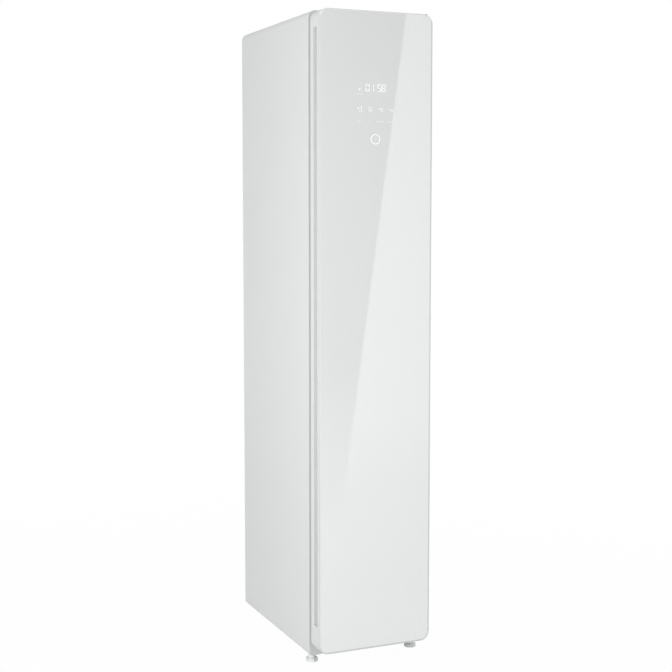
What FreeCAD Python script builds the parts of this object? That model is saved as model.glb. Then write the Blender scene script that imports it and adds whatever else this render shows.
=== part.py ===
"""Clothes care steam cabinet: a tall narrow steel cabinet on levelling feet with a glass-fronted door.

Frame: +X to the right, the door faces -Y, +Z up. The origin is on the floor, under the middle of the
cabinet's box. Millimetres. Every size below is a cell of the document's Sizes sheet, and every piece is
bound to those cells.
"""
import FreeCAD, Part
import math
import os
import types

import Sketcher

DRIVING_SIZES = (
    # Steel casing
    ("body_width", 348, "casing, across the side panels"),
    ("body_depth", 550, "casing, front to back"),
    ("body_height", 1828, "casing, base to top"),
    ("top_corner", 22, "outer radius of the casing's upper edges"),
    ("base_corner", 10, "outer radius of the casing's lower edges"),
    ("casing_steel", 1.2, "casing sheet"),
    ("base_flange", 32, "width of the casing's return under the base"),
    ("frame_depth", 10, "front frame, front to back"),
    ("opening_corner", 8, "radius of the front opening's upper corners"),
    ("rear_recess", 3, "rear panel, inward of the casing's rear edge"),
    ("pan_rise", 40, "base pan, height of its walls"),
    ("pan_steel", 1.5, "base pan sheet"),
    ("vent_width", 120, "length of a vent slot in the rear panel"),
    ("vent_slot", 5, "height of a vent slot"),
    ("vent_pitch", 13, "vent slots, centre to centre"),
    ("vent_count", 9, "number of vent slots"),
    ("vent_lift", 110, "lowest vent slot above the casing's base"),
    ("screw_radius", 2, "shank of every screw"),
    ("screw_head", 4, "radius of every screw head"),
    ("screw_head_rise", 1.8, "thickness of every screw head"),
    ("screw_length", 9, "shank under the head"),
    ("panel_screw_end", 60, "rear panel screws, in from the casing's base and top"),
    ("panel_screw_rows", 5, "number of screws on each side of the rear panel"),
    ("panel_screw_edge", 11, "rear panel screws, in from the casing's inner face"),
    # Levelling feet
    ("foot_height", 22, "floor to the casing's base"),
    ("front_foot_inset", 15.5, "front feet, in from the casing's side"),
    ("rear_foot_inset", 44, "rear feet, in from the casing's side"),
    ("foot_front", 1, "front foot sockets, behind the front frame"),
    ("foot_rear", 25, "rear foot sockets, in front of the rear panel"),
    ("pad_radius", 17.5, "foot pad, from its axis to its corners"),
    ("pad_turn", 30, "turn of the foot pads at rest, in degrees"),
    ("pad_height", 10.5, "foot pad"),
    ("collar_radius", 10.5, "nut on the foot stem"),
    ("stem_radius", 5, "threaded stem"),
    ("stem_length", 40, "stem above the nut"),
    ("socket_wall", 4, "wall of the threaded socket in the base pan"),
    ("socket_height", 26, "threaded socket above the pan"),
    ("running_clearance", 0.05, "radial play of a shaft in its hole"),
    ("rest_clearance", 0.3, "play between a loose piece and its seat"),
    # Door
    ("door_depth", 61, "door, front to back"),
    ("door_gap", 14, "casing's front to the back of the door"),
    ("door_top_drop", 3, "door's top edge below the casing's top"),
    ("door_base_lift", 24, "door's lower edge above the casing's base"),
    ("door_corner", 28, "outer radius of the door's corners"),
    ("glass_thickness", 4.5, "front glass"),
    ("glass_edge", 4, "radius of the glass's rounded front edge"),
    ("door_wall", 3, "walls and front web of the door frame"),
    ("door_panel", 3, "inner panel of the door"),
    ("grip_drop", 50, "grip channel below the door's top edge"),
    ("grip_lift", 78, "grip channel above the door's lower edge"),
    ("grip_rear_rim", 18, "door's back to the grip channel"),
    ("grip_width", 27, "grip channel, front to back"),
    ("grip_reach", 25, "depth of the grip channel into the door's side"),
    ("grip_wall", 2, "wall of the grip channel"),
    ("grip_chamfer", 1.5, "bevel of the grip channel's lips"),
    ("gasket_overlap", 2, "gasket's inner edge outside the opening"),
    ("gasket_width", 12, "width of the gasket's bulb"),
    ("magnet_width", 12, "closing magnet, across"),
    ("magnet_length", 60, "closing magnet, along the door"),
    ("magnet_edge", 4, "closing magnet, in from the door's side"),
    ("magnet_spacing", 700, "closing magnets, centre to centre"),
    ("strike_steel", 1.5, "strike plate"),
    ("window_width", 190, "window for the display board"),
    ("window_height", 200, "window for the display board"),
    ("window_drop", 165, "display window below the door's top edge"),
    ("board_thickness", 1.6, "circuit boards"),
    ("lamp_block_width", 95, "block of lamps on the display board"),
    ("lamp_block_height", 100, "block of lamps on the display board"),
    # Hinges
    ("hinge_inset", 20, "hinge axis, in from the door's side"),
    ("hinge_setback", 32, "hinge axis, in front of the door's back"),
    ("hinge_pin_radius", 5, "hinge pins"),
    ("bush_wall", 3, "wall of the hinge bushes"),
    ("bush_length", 20, "hinge bushes"),
    ("boss_offset", 18, "hinge boss, in from the door's end"),
    ("boss_height", 26, "hinge boss"),
    ("boss_margin", 12, "hinge boss, from the axis to its inner side"),
    ("bracket_steel", 2.2, "hinge brackets"),
    ("bracket_gap", 0.4, "bracket to the door's end"),
    ("bracket_reach", 26, "bracket, from the axis to its inner edge"),
    ("bracket_nose", 11, "bracket, from the axis to its other edges"),
    ("bracket_leg", 38, "bracket's leg on the front frame"),
    ("bracket_screw_reach", 16, "bracket screws, inward of the axis"),
    ("bracket_screw_pitch", 16, "bracket screws, one above the other"),
    ("bracket_screw_drop", 12, "first bracket screw from the bracket's plate"),
    # Garment chamber
    ("side_wall", 34, "casing's outer face to the chamber"),
    ("rear_space", 62.5, "casing's rear edge to the chamber"),
    ("top_space", 150, "casing's top to the chamber's ceiling"),
    ("base_space", 418, "casing's base to the chamber's floor"),
    ("well_lift", 158, "casing's base to the floor of the tank well"),
    ("well_depth", 158.5, "casing's front to the back of the tank well"),
    ("liner_wall", 2.5, "moulded chamber liner"),
    ("board_foam", 25, "insulation boards"),
    ("lamp_width", 120, "chamber lamp"),
    ("lamp_depth", 20, "chamber lamp"),
    ("lamp_height", 6, "chamber lamp"),
    ("lamp_setback", 38, "lamp behind the casing's front"),
    ("shelf_lift", 38, "underside of the shelf above the chamber's floor"),
    ("shelf_thickness", 8, "garment shelf"),
    ("shelf_side_gap", 6, "shelf to the chamber's side walls"),
    ("shelf_rear_gap", 10, "shelf to the chamber's back"),
    ("shelf_depth", 236, "garment shelf, front to back"),
    ("shelf_slot", 8, "drain slots in the shelf"),
    ("shelf_slot_pitch", 22, "drain slots, centre to centre"),
    ("shelf_slot_count", 9, "number of drain slots"),
    ("shelf_border", 22, "solid border of the shelf"),
    ("ledge_reach", 12, "shelf ledges, out from the wall"),
    ("ledge_length", 30, "shelf ledges, along the wall"),
    ("ledge_height", 8, "shelf ledges"),
    # Tanks and lint filter
    ("tank_side_gap", 4, "tanks to the well's side walls"),
    ("tank_middle_gap", 2, "each tank to the middle of the well"),
    ("tank_front_gap", 5.5, "tanks behind the casing's front"),
    ("tank_rear_gap", 5, "tanks to the well's back"),
    ("tank_drop", 22, "rim of the tanks below the chamber's floor"),
    ("tank_wall", 2.5, "wall of the tanks"),
    ("tank_corner", 10, "corner radius of the tanks"),
    ("lid_thickness", 3, "tank lids"),
    ("lid_plug", 5, "rim of the lid inside the tank"),
    ("lid_grip_width", 12, "grip bar on a lid"),
    ("lid_grip_length", 80, "grip bar on a lid"),
    ("lid_grip_height", 12, "grip bar on a lid"),
    ("filter_side_gap", 32, "lint basket to the chamber's side walls"),
    ("filter_depth", 38, "lint basket, front to back"),
    ("filter_setback", 12, "lint basket behind the tank well"),
    ("filter_drop", 38, "lint basket below the chamber's floor"),
    ("filter_rim", 6, "flange of the lint basket"),
    ("filter_wall", 2, "walls of the lint basket"),
    ("filter_clearance", 1, "basket to its hole"),
    ("filter_slot", 4, "slots in the basket's floor"),
    ("filter_slot_pitch", 12, "slots in the basket's floor, centre to centre"),
    ("filter_slot_count", 16, "number of slots in the basket's floor"),
    # Moving hanger
    ("tray_steel", 2, "mechanism tray over the ceiling"),
    ("rod_radius", 5, "guide rods"),
    ("rod_spacing", 80, "guide rods, centre to centre"),
    ("rod_end_gap", 20, "guide rods' ends, inward of the chamber's side walls"),
    ("rod_lift", 18, "rod axis above the tray"),
    ("rod_block", 14, "rod end blocks, along the rod"),
    ("carriage_length", 150, "hanger carriage, along the rods"),
    ("carriage_thickness", 16, "hanger carriage"),
    ("carriage_margin", 12, "carriage beyond the rod axes"),
    ("post_radius", 6, "posts that carry the hanger bar"),
    ("post_spacing", 110, "posts, centre to centre"),
    ("hanger_travel", 7.3, "half the hanger's stroke"),
    ("slot_clearance", 1.5, "post to the end of its slot at full stroke"),
    ("bar_drop", 45, "hanger bar's axis below the ceiling"),
    ("bar_radius", 11, "hanger bar"),
    ("bar_wall", 1.5, "hanger bar's tube"),
    ("bar_end_gap", 22, "hanger bar's end to the chamber wall"),
    ("clamp_wall", 5, "clamp ring round the bar"),
    ("clamp_length", 14, "clamp ring along the bar"),
    ("crank_radius", 10, "crank pin from the motor's axis"),
    ("crank_pin_radius", 4, "crank pin"),
    ("crank_pin_length", 14, "crank pin below the disc"),
    ("crank_slot_clearance", 1, "crank pin to the sides of its slot"),
    ("disc_radius", 20, "crank disc"),
    ("disc_thickness", 6, "crank disc"),
    ("disc_gap", 3, "carriage to the crank disc"),
    ("shaft_radius", 4, "motor shafts"),
    ("motor_radius", 28, "drive motor"),
    ("motor_height", 46, "drive motor"),
    ("bridge_width", 70, "bridge that carries the drive motor"),
    ("bridge_span", 132, "bridge, over the carriage"),
    ("bridge_gap", 3, "crank disc to the bridge"),
    ("control_width", 62, "control board"),
    ("control_depth", 110, "control board"),
    ("control_edge", 8, "control board to the casing"),
    ("control_setback", 90, "control board behind the middle of the chamber"),
    ("standoff_height", 8, "control board above the tray"),
    ("standoff_radius", 4, "feet of the control board"),
    ("transformer_depth", 36, "transformer on the control board, front to back"),
    ("transformer_height", 20, "transformer on the control board"),
    # Air path
    ("duct_width", 120, "rear duct"),
    ("duct_depth", 46, "rear duct, front to back"),
    ("duct_wall", 2, "rear duct"),
    ("outlet_width", 150, "air outlet in the chamber's back"),
    ("outlet_height", 70, "air outlet"),
    ("outlet_drop", 70, "air outlet below the ceiling"),
    ("outlet_flange", 8, "grille beyond the outlet"),
    ("grille_thickness", 4, "air outlet grille"),
    ("grille_slot", 6, "slots of the grille"),
    ("grille_pitch", 11, "slots of the grille, centre to centre"),
    ("grille_count", 6, "number of slots of the grille"),
    ("fan_plenum", 36, "blower housing below the chamber's floor"),
    ("fan_box_width", 150, "blower housing, across"),
    ("fan_box_height", 88, "blower housing"),
    ("fan_box_wall", 3, "blower housing"),
    ("fan_box_margin", 7, "blower housing beyond its round space"),
    ("wheel_radius", 57, "blower wheel"),
    ("wheel_gap", 11, "blower wheel to its housing"),
    ("wheel_height", 50, "blower wheel"),
    ("wheel_plate", 3, "plate and ring of the blower wheel"),
    ("wheel_hub", 12, "hub of the blower wheel"),
    ("wheel_rim", 16, "ring on top of the blades, across"),
    ("blade_inset", 1.5, "blades, in from both edges of the ring"),
    ("blade_thickness", 2, "blades"),
    ("blade_count", 20, "number of blades"),
    ("inlet_radius", 38, "inlet of the blower housing"),
    ("fan_motor_radius", 34, "blower motor"),
    ("fan_motor_height", 58, "blower motor"),
    ("post_bolt", 5, "hangers of the blower housing"),
    # Heat pump and steam
    ("coil_side_gap", 50, "coils to the chamber's side walls"),
    ("coil_height", 84, "coils"),
    ("coil_depth", 30, "each coil, front to back"),
    ("coil_rear_gap", 8, "condenser to the blower housing"),
    ("coil_gap", 6, "between the two coils"),
    ("fin_thickness", 0.8, "coil fins"),
    ("fin_count", 33, "fins of each coil"),
    ("coil_tube", 4, "radius of the coil tubes"),
    ("coil_tube_rows", 3, "tubes of each coil"),
    ("compressor_radius", 54, "compressor"),
    ("compressor_height", 170, "compressor shell"),
    ("compressor_dome", 27, "sloping top of the compressor shell"),
    ("compressor_edge", 14, "compressor to the casing"),
    ("compressor_rear", 110, "compressor's axis to the rear panel"),
    ("compressor_plate", 3, "compressor's mounting plate"),
    ("grommet_radius", 10, "rubber mounts"),
    ("grommet_height", 18, "rubber mounts"),
    ("boiler_width", 92, "steam generator, across"),
    ("boiler_depth", 110, "steam generator, front to back"),
    ("boiler_height", 130, "steam generator"),
    ("boiler_edge", 16, "steam generator to the casing"),
    ("boiler_setback", 80, "steam generator behind the tank well"),
    ("hose_radius", 8, "steam hose"),
    ("hose_wall", 2.5, "steam hose"),
    ("stub_length", 16, "hose stubs"),
    ("nozzle_radius", 14, "flange of the steam nozzle"),
    ("nozzle_rise", 8, "steam nozzle above the chamber's floor"),
    ("nozzle_bore", 4, "steam outlet"),
    ("nozzle_edge", 20, "steam nozzle to the chamber's side wall"),
    ("pump_radius", 18, "feed pump"),
    ("pump_height", 52, "feed pump"),
    ("pump_rear", 44, "feed pump's axis behind the tank well"),
    ("pipe_radius", 4, "water and refrigerant pipes"),
    ("pipe_bend", 16, "bend radius of the pipes"),
    # Mains inlet
    ("inlet_width", 27, "mains inlet, across"),
    ("inlet_height", 20, "mains inlet"),
    ("inlet_depth", 22, "mains inlet"),
    ("inlet_wall", 1.5, "mains inlet"),
    ("inlet_flange", 5, "mains inlet's flange"),
    ("inlet_flange_thickness", 2, "mains inlet's flange"),
    ("inlet_lift", 66, "mains inlet above the casing's base"),
    ("inlet_offset", 120, "mains inlet, left of the middle"),
    ("inlet_pin_width", 2, "contact pins"),
    ("inlet_pin_height", 4, "contact pins"),
    ("inlet_pin_length", 12, "contact pins"),
    ("inlet_pin_pitch", 7, "contact pins, centre to centre"),
)

CUT_BEYOND = 1.0  # how far a cutting tool reaches past an open face
BEND_SHARE = 0.45  # the most of a run that one pipe bend may take up
STEP_LIMIT = 60

doc = FreeCAD.newDocument("steam_cabinet")


class Size:
    """A length that knows its value and the sheet expression that gives it."""

    def __init__(self, value, text):
        self.value = value
        self.text = text

    def __add__(self, other):
        other = as_size(other)
        return Size(self.value + other.value, f"({self.text} + {other.text})")

    def __sub__(self, other):
        other = as_size(other)
        return Size(self.value - other.value, f"({self.text} - {other.text})")

    def __mul__(self, other):
        other = as_size(other)
        return Size(self.value * other.value, f"({self.text} * {other.text})")

    def __truediv__(self, other):
        other = as_size(other)
        return Size(self.value / other.value, f"({self.text} / {other.text})")

    def __neg__(self):
        return as_size(0) - self

    def __radd__(self, other):
        return as_size(other) + self

    def __rsub__(self, other):
        return as_size(other) - self

    def __rmul__(self, other):
        return as_size(other) * self


def as_size(number):
    """Take a Size as it is, and wrap a plain number."""
    if isinstance(number, Size):
        return number
    return Size(float(number), repr(float(number)))


def fill_sheet():
    """Write the driving sizes into the document's sheet, one aliased cell each."""
    sheet = doc.addObject("Spreadsheet::Sheet", "Sizes")
    sizes = {}
    for row, (name, value, meaning) in enumerate(DRIVING_SIZES, start=1):
        sheet.set(f"A{row}", name)
        sheet.set(f"B{row}", str(value))
        sheet.set(f"C{row}", meaning)
        sheet.setAlias(f"B{row}", name)
        sizes[name] = Size(float(value), f"Sizes.{name}")
    doc.recompute()
    return types.SimpleNamespace(**sizes)


size = fill_sheet()

# Planes that the pieces share
half_width = size.body_width / 2
inner_half = half_width - size.casing_steel
total_depth = size.door_depth + size.door_gap + size.body_depth
door_front = -total_depth / 2
door_back = door_front + size.door_depth
body_front = door_back + size.door_gap
body_back = body_front + size.body_depth
body_base = size.foot_height
body_top = body_base + size.body_height
door_base = body_base + size.door_base_lift
door_top = body_top - size.door_top_drop
frame_back = body_front + size.frame_depth
panel_back = body_back - size.rear_recess
panel_front = panel_back - size.casing_steel
glass_back = door_front + size.glass_thickness
web_back = glass_back + size.door_wall
chamber_half = half_width - size.side_wall
chamber_back = body_back - size.rear_space
ceiling = body_top - size.top_space
chamber_floor = body_base + size.base_space
well_floor = body_base + size.well_lift
well_back = body_front + size.well_depth
floor_underside = chamber_floor - size.liner_wall
pan_underside = body_base + size.casing_steel
pan_floor = pan_underside + size.pan_steel
tray_base = ceiling + size.liner_wall
tray_top = tray_base + size.tray_steel
pivot_x = half_width - size.hinge_inset
pivot_y = door_back - size.hinge_setback
chamber_middle = (frame_back + chamber_back) / 2
socket_radius = size.stem_radius + size.socket_wall
foot_rows = (
    (half_width - size.front_foot_inset, frame_back + size.foot_front + socket_radius),
    (half_width - size.rear_foot_inset, panel_front - size.foot_rear - socket_radius),
)
foot_places = [(side * x, y) for x, y in foot_rows for side in (-1, 1)]

pieces = {}


def both_ways(half):
    """The span from -half to +half."""
    return (-half, half)


def about(middle, width):
    """The span of this width about a middle."""
    return (middle - width / 2, middle + width / 2)


def keep(label, item):
    """Give a finished sub-part its label and remember it for the export."""
    item.Label = label
    pieces[label] = item
    return item


# ---- Part primitives -------------------------------------------------------------------------------


def block(name, x, y, z):
    """A box between two limits on each axis."""
    item = doc.addObject("Part::Box", name)
    for side, (low, high) in zip(("Length", "Width", "Height"), (x, y, z)):
        item.setExpression(side, (high - low).text)
    for axis, (low, _) in zip("xyz", (x, y, z)):
        item.setExpression(f"Placement.Base.{axis}", as_size(low).text)
    return item


def rod(name, axis, centre, radius, span):
    """A cylinder along an axis; centre holds the other two coordinates in X, Y, Z order."""
    directions = {"x": (1, 0, 0), "y": (0, 1, 0), "z": (0, 0, 1)}
    item = doc.addObject("Part::Cylinder", name)
    turn = FreeCAD.Rotation(FreeCAD.Vector(0, 0, 1), FreeCAD.Vector(*directions[axis]))
    item.Placement = FreeCAD.Placement(FreeCAD.Vector(), turn)
    item.setExpression("Radius", as_size(radius).text)
    item.setExpression("Height", (span[1] - span[0]).text)
    base = dict(zip([other for other in "xyz" if other != axis], centre))
    base[axis] = span[0]
    for name_of_axis, place in base.items():
        item.setExpression(f"Placement.Base.{name_of_axis}", as_size(place).text)
    return item


def fused(name, *items):
    """One solid from several."""
    item = doc.addObject("Part::MultiFuse", name)
    item.Shapes = list(items)
    item.Refine = True
    return item


def cut(name, base, *tools):
    """A solid less its tools."""
    item = doc.addObject("Part::Cut", name)
    item.Base = base
    item.Tool = tools[0] if len(tools) == 1 else fused(f"{name}_tools", *tools)
    return item


def grouped(name, *items):
    """Separate solids that share one node."""
    item = doc.addObject("Part::Compound", name)
    item.Links = list(items)
    return item


# ---- Sketch outlines -------------------------------------------------------------------------------


def rectangle(x, y, top=None, base=None):
    """An upright rectangle's corners, with the radii of its upper and lower pairs."""
    return [(x[0], y[0], base), (x[1], y[0], base), (x[1], y[1], top), (x[0], y[1], top)]


def sign_between(start, end):
    """Which way one value lies from another: -1, 0 or 1."""
    gap = as_size(end).value - as_size(start).value
    return 0 if abs(gap) < 1e-9 else math.copysign(1, gap)


def corner_ends(before, corner, after):
    """Where the rounding of a right-angled corner starts and ends, and its centre."""
    x, y, radius = corner
    if radius is None:
        return (x, y), (x, y), None
    radius = as_size(radius)
    way_in = (sign_between(x, before[0]), sign_between(y, before[1]))
    way_out = (sign_between(x, after[0]), sign_between(y, after[1]))
    start = (x + way_in[0] * radius, y + way_in[1] * radius)
    end = (x + way_out[0] * radius, y + way_out[1] * radius)
    centre = (x + (way_in[0] + way_out[0]) * radius, y + (way_in[1] + way_out[1]) * radius)
    return start, end, centre


def plain(point):
    """A sketch point as a vector of plain numbers."""
    return FreeCAD.Vector(as_size(point[0]).value, as_size(point[1]).value, 0)


def bind(sketch, constraint, amount):
    """Add a constraint and bind it to its size."""
    index = sketch.addConstraint(constraint)
    sketch.setExpression(f"Constraints[{index}]", as_size(amount).text)


def bind_point(sketch, geometry, position, point):
    """Hold a point at its distances from the sketch's origin."""
    for kind, amount in zip(("DistanceX", "DistanceY"), point):
        constraint = Sketcher.Constraint(kind, -1, 1, geometry, position, as_size(amount).value)
        bind(sketch, constraint, amount)


def draw_corners(sketch, corners):
    """Draw a closed outline of straight sides, with the corners that have a radius rounded."""
    count = len(corners)
    ends = []
    for index, corner in enumerate(corners):
        ends.append(corner_ends(corners[index - 1], corner, corners[(index + 1) % count]))
    sides = []
    for index in range(count):
        start = ends[index][1]
        end = ends[(index + 1) % count][0]
        side = sketch.addGeometry(Part.LineSegment(plain(start), plain(end)), False)
        bind_point(sketch, side, 1, start)
        if corners[(index + 1) % count][2] is not None:
            bind_point(sketch, side, 2, end)
        sides.append(side)
    for index, (start, end, centre) in enumerate(ends):
        before = sides[index - 1]
        after = sides[index]
        if centre is None:
            sketch.addConstraint(Sketcher.Constraint("Coincident", before, 2, after, 1))
        else:
            draw_corner_arc(sketch, start, end, centre, before, after, corners[index][2])


def draw_corner_arc(sketch, start, end, centre, before, after, radius):
    """Draw one rounded corner between two sides of an outline."""
    middle = plain(centre)
    to_start = plain(start) - middle
    to_end = plain(end) - middle
    turns_left = to_start.cross(to_end).z > 0
    first, last = (to_start, to_end) if turns_left else (to_end, to_start)
    begin = math.atan2(first.y, first.x)
    circle = Part.Circle(middle, FreeCAD.Vector(0, 0, 1), first.Length)
    arc = sketch.addGeometry(Part.ArcOfCircle(circle, begin, begin + math.pi / 2), False)
    start_point, end_point = (1, 2) if turns_left else (2, 1)
    sketch.addConstraint(Sketcher.Constraint("Coincident", before, 2, arc, start_point))
    sketch.addConstraint(Sketcher.Constraint("Coincident", after, 1, arc, end_point))
    bind(sketch, Sketcher.Constraint("Radius", arc, as_size(radius).value), radius)


def draw_circle(sketch, x, y, radius):
    """Draw a circle held at its centre and radius."""
    circle = Part.Circle(plain((x, y)), FreeCAD.Vector(0, 0, 1), as_size(radius).value)
    geometry = sketch.addGeometry(circle, False)
    bind_point(sketch, geometry, 3, (x, y))
    bind(sketch, Sketcher.Constraint("Radius", geometry, as_size(radius).value), radius)


# ---- PartDesign bodies -----------------------------------------------------------------------------


class Workpiece:
    """One PartDesign body, built up by pads and pockets of sketches on its origin planes."""

    def __init__(self, label):
        self.body = doc.addObject("PartDesign::Body", label)
        self.label = label

    def origin(self, role):
        """The origin plane or axis with this role."""
        return next(item for item in self.body.Origin.OriginFeatures if item.Role == role)

    def sketch(self, plane, offset, outlines):
        """Draw outlines on an origin plane that is moved along its normal."""
        sketch = self.body.newObject("Sketcher::SketchObject", f"{self.label}_outline")
        sketch.AttachmentSupport = (self.origin(f"{plane}_Plane"), [""])
        sketch.MapMode = "FlatFace"
        sketch.setExpression("AttachmentOffset.Base.z", as_size(offset).text)
        for outline in outlines:
            if isinstance(outline, tuple):
                draw_circle(sketch, *outline)
            else:
                draw_corners(sketch, outline)
        return sketch

    def feature(self, kind, sketch, span):
        """Make a pad or pocket as long as the span."""
        item = self.body.newObject(f"PartDesign::{kind}", f"{self.label}_{kind.lower()}")
        item.Profile = sketch
        item.setExpression("Length", (span[1] - span[0]).text)
        doc.recompute()
        return item

    def add(self, plane, span, *outlines):
        """Pad outlines over a span of the axis that the plane faces."""
        start = -as_size(span[1]) if plane == "XZ" else span[0]
        return self.feature("Pad", self.sketch(plane, start, outlines), span)

    def remove(self, plane, span, *outlines):
        """Pocket outlines over a span of the axis that the plane faces."""
        before = self.body.Shape.Volume
        start = -as_size(span[0]) if plane == "XZ" else span[1]
        item = self.feature("Pocket", self.sketch(plane, start, outlines), span)
        if self.body.Shape.Volume >= before:
            raise RuntimeError(f"{self.label}: a pocket removes nothing")
        return item

    def repeat(self, feature, axis, pitch, count):
        """Repeat a feature along an origin axis."""
        pattern = self.body.newObject("PartDesign::LinearPattern", f"{self.label}_row")
        pattern.Originals = [feature]
        pattern.Direction = (self.origin(f"{axis}_Axis"), [""])
        pattern.setExpression("Length", (pitch * (count - 1)).text)
        pattern.setExpression("Occurrences", count.text)
        self.body.Tip = pattern
        doc.recompute()
        return pattern

    def repeat_round(self, feature, count):
        """Repeat a feature about the body's Z axis."""
        pattern = self.body.newObject("PartDesign::PolarPattern", f"{self.label}_ring")
        pattern.Originals = [feature]
        pattern.Axis = (self.origin("Z_Axis"), [""])
        pattern.Angle = 360
        pattern.setExpression("Occurrences", count.text)
        self.body.Tip = pattern
        doc.recompute()
        return pattern

    def round_front(self, radius):
        """Round the edges of the foremost face."""
        before = self.body.Tip
        faces = before.Shape.Faces
        front = min(range(len(faces)), key=lambda index: faces[index].CenterOfMass.y)
        item = self.body.newObject("PartDesign::Fillet", f"{self.label}_fillet")
        item.Base = (before, [f"Face{front + 1}"])
        item.setExpression("Radius", radius.text)
        doc.recompute()

    def place(self, x, y, z):
        """Put the finished body at a place in the cabinet."""
        for axis, amount in zip("xyz", (x, y, z)):
            self.body.setExpression(f"Placement.Base.{axis}", as_size(amount).text)

    def done(self):
        """Keep the body as a sub-part."""
        return keep(self.label, self.body)


# ---- Casing ----------------------------------------------------------------------------------------


def casing_outline(inset):
    """The casing's section, set in by a distance."""
    return rectangle(
        both_ways(half_width - inset),
        (body_base + inset, body_top - inset),
        size.top_corner - inset,
        size.base_corner - inset,
    )


def outer_wrap():
    """Painted steel round the sides and top, returned under the base."""
    part = Workpiece("outer_wrap")
    depth = (body_front, body_back)
    part.add("XZ", depth, casing_outline(as_size(0)))
    part.remove("XZ", depth, casing_outline(size.casing_steel))
    underside = (body_base - CUT_BEYOND, body_base + size.casing_steel + CUT_BEYOND)
    part.remove("XZ", depth, rectangle(both_ways(half_width - size.base_flange), underside))
    hole = size.stem_radius + size.socket_wall / 2
    part.remove("XY", underside, *[(x, y, hole) for x, y in foot_places])
    part.done()


def bracket_screw_places():
    """X and Z of every hinge bracket screw."""
    x = pivot_x - size.bracket_screw_reach
    places = []
    for first, way in ((door_top - size.bracket_screw_drop, -1), (door_base + size.bracket_screw_drop, 1)):
        for step in (0, 1):
            places.append((x, first + way * step * size.bracket_screw_pitch))
    return places


def front_frame():
    """Moulded frame inside the casing's front edge, round the one opening."""
    part = Workpiece("front_frame")
    depth = (body_front, frame_back)
    part.add("XZ", depth, casing_outline(size.casing_steel))
    opening = rectangle(both_ways(chamber_half), (well_floor, ceiling), size.opening_corner)
    part.remove("XZ", depth, opening)
    seat = size.screw_length - size.bracket_steel
    holes = [(x, z, size.screw_radius) for x, z in bracket_screw_places()]
    part.remove("XZ", (body_front, body_front + seat), *holes)
    part.done()


def base_pan():
    """Steel tray on the casing's returns, with a threaded socket for each foot."""
    part = Workpiece("base_pan")
    depth = (frame_back, panel_front)
    rim = pan_underside + size.pan_rise
    corner = size.base_corner - size.casing_steel
    part.add("XZ", depth, rectangle(both_ways(inner_half), (pan_underside, rim), None, corner))
    inside = rectangle(
        both_ways(inner_half - size.pan_steel),
        (pan_floor, rim + CUT_BEYOND),
        None,
        corner - size.pan_steel,
    )
    part.remove("XZ", (frame_back + size.pan_steel, panel_front - size.pan_steel), inside)
    socket_top = pan_floor + size.socket_height
    part.add("XY", (pan_floor, socket_top), *[(x, y, socket_radius) for x, y in foot_places])
    bore = size.stem_radius + size.running_clearance
    part.remove("XY", (pan_underside, socket_top), *[(x, y, bore) for x, y in foot_places])
    part.done()


def panel_screw_places():
    """X and Z of every rear panel screw."""
    x = inner_half - size.panel_screw_edge
    rows = int(size.panel_screw_rows.value)
    first = body_base + size.panel_screw_end
    pitch = (body_top - size.panel_screw_end - first) / (rows - 1)
    return [(side * x, first + row * pitch) for row in range(rows) for side in (-1, 1)]


def inlet_span():
    """The mains inlet's spans in X and Z."""
    return (
        about(-size.inlet_offset, size.inlet_width),
        about(body_base + size.inlet_lift, size.inlet_height),
    )


def rear_panel():
    """Steel panel that closes the back, with vents for the machine space."""
    part = Workpiece("rear_panel")
    thickness = (panel_front, panel_back)
    part.add("XZ", thickness, casing_outline(size.casing_steel))
    part.remove("XZ", thickness, rectangle(*inlet_span()))
    part.remove("XZ", thickness, *[(x, z, size.screw_radius) for x, z in panel_screw_places()])
    first = body_base + size.vent_lift
    slot = rectangle(both_ways(size.vent_width / 2), (first, first + size.vent_slot))
    part.repeat(part.remove("XZ", thickness, slot), "Z", size.vent_pitch, size.vent_count)
    part.done()


def screw(name, place, seat, way):
    """A pan-head screw along Y: its head rests on the seat, and the shank runs the given way."""
    head = (seat - way * size.screw_head_rise, seat) if way > 0 else (seat, seat + size.screw_head_rise)
    shank = (seat, seat + size.screw_length) if way > 0 else (seat - size.screw_length, seat)
    return fused(
        name,
        rod(f"{name}_head", "y", place, size.screw_head, head),
        rod(f"{name}_shank", "y", place, size.screw_radius, shank),
    )


def rear_screws():
    """The screws that hold the rear panel."""
    screws = [screw("rear_screw", place, panel_back, -1) for place in panel_screw_places()]
    keep("rear_screws", grouped("rear_screws", *screws))


def hinge_screws():
    """The screws that hold the hinge brackets to the front frame."""
    seat = body_front - size.bracket_steel
    screws = [screw("hinge_screw", place, seat, 1) for place in bracket_screw_places()]
    keep("hinge_screws", grouped("hinge_screws", *screws))


def power_inlet():
    """Mains appliance inlet: a flanged socket with three contact pins."""
    across, upright = inlet_span()
    flange = (panel_back, panel_back + size.inlet_flange_thickness)
    back = panel_back - size.inlet_depth
    mouth = (back + size.inlet_wall, flange[1] + CUT_BEYOND)
    shell = fused(
        "inlet_shell",
        block("inlet_body", across, (back, panel_back), upright),
        block(
            "inlet_plate",
            (across[0] - size.inlet_flange, across[1] + size.inlet_flange),
            flange,
            (upright[0] - size.inlet_flange, upright[1] + size.inlet_flange),
        ),
    )
    hollow = block(
        "inlet_hollow",
        (across[0] + size.inlet_wall, across[1] - size.inlet_wall),
        mouth,
        (upright[0] + size.inlet_wall, upright[1] - size.inlet_wall),
    )
    pins = []
    for step in (-1, 0, 1):
        pins.append(
            block(
                "inlet_pin",
                about(-size.inlet_offset + step * size.inlet_pin_pitch, size.inlet_pin_width),
                (back, mouth[0] + size.inlet_pin_length),
                about(body_base + size.inlet_lift, size.inlet_pin_height),
            )
        )
    keep("power_inlet", fused("power_inlet", cut("inlet_socket", shell, hollow), *pins))


# ---- Levelling feet --------------------------------------------------------------------------------


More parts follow.
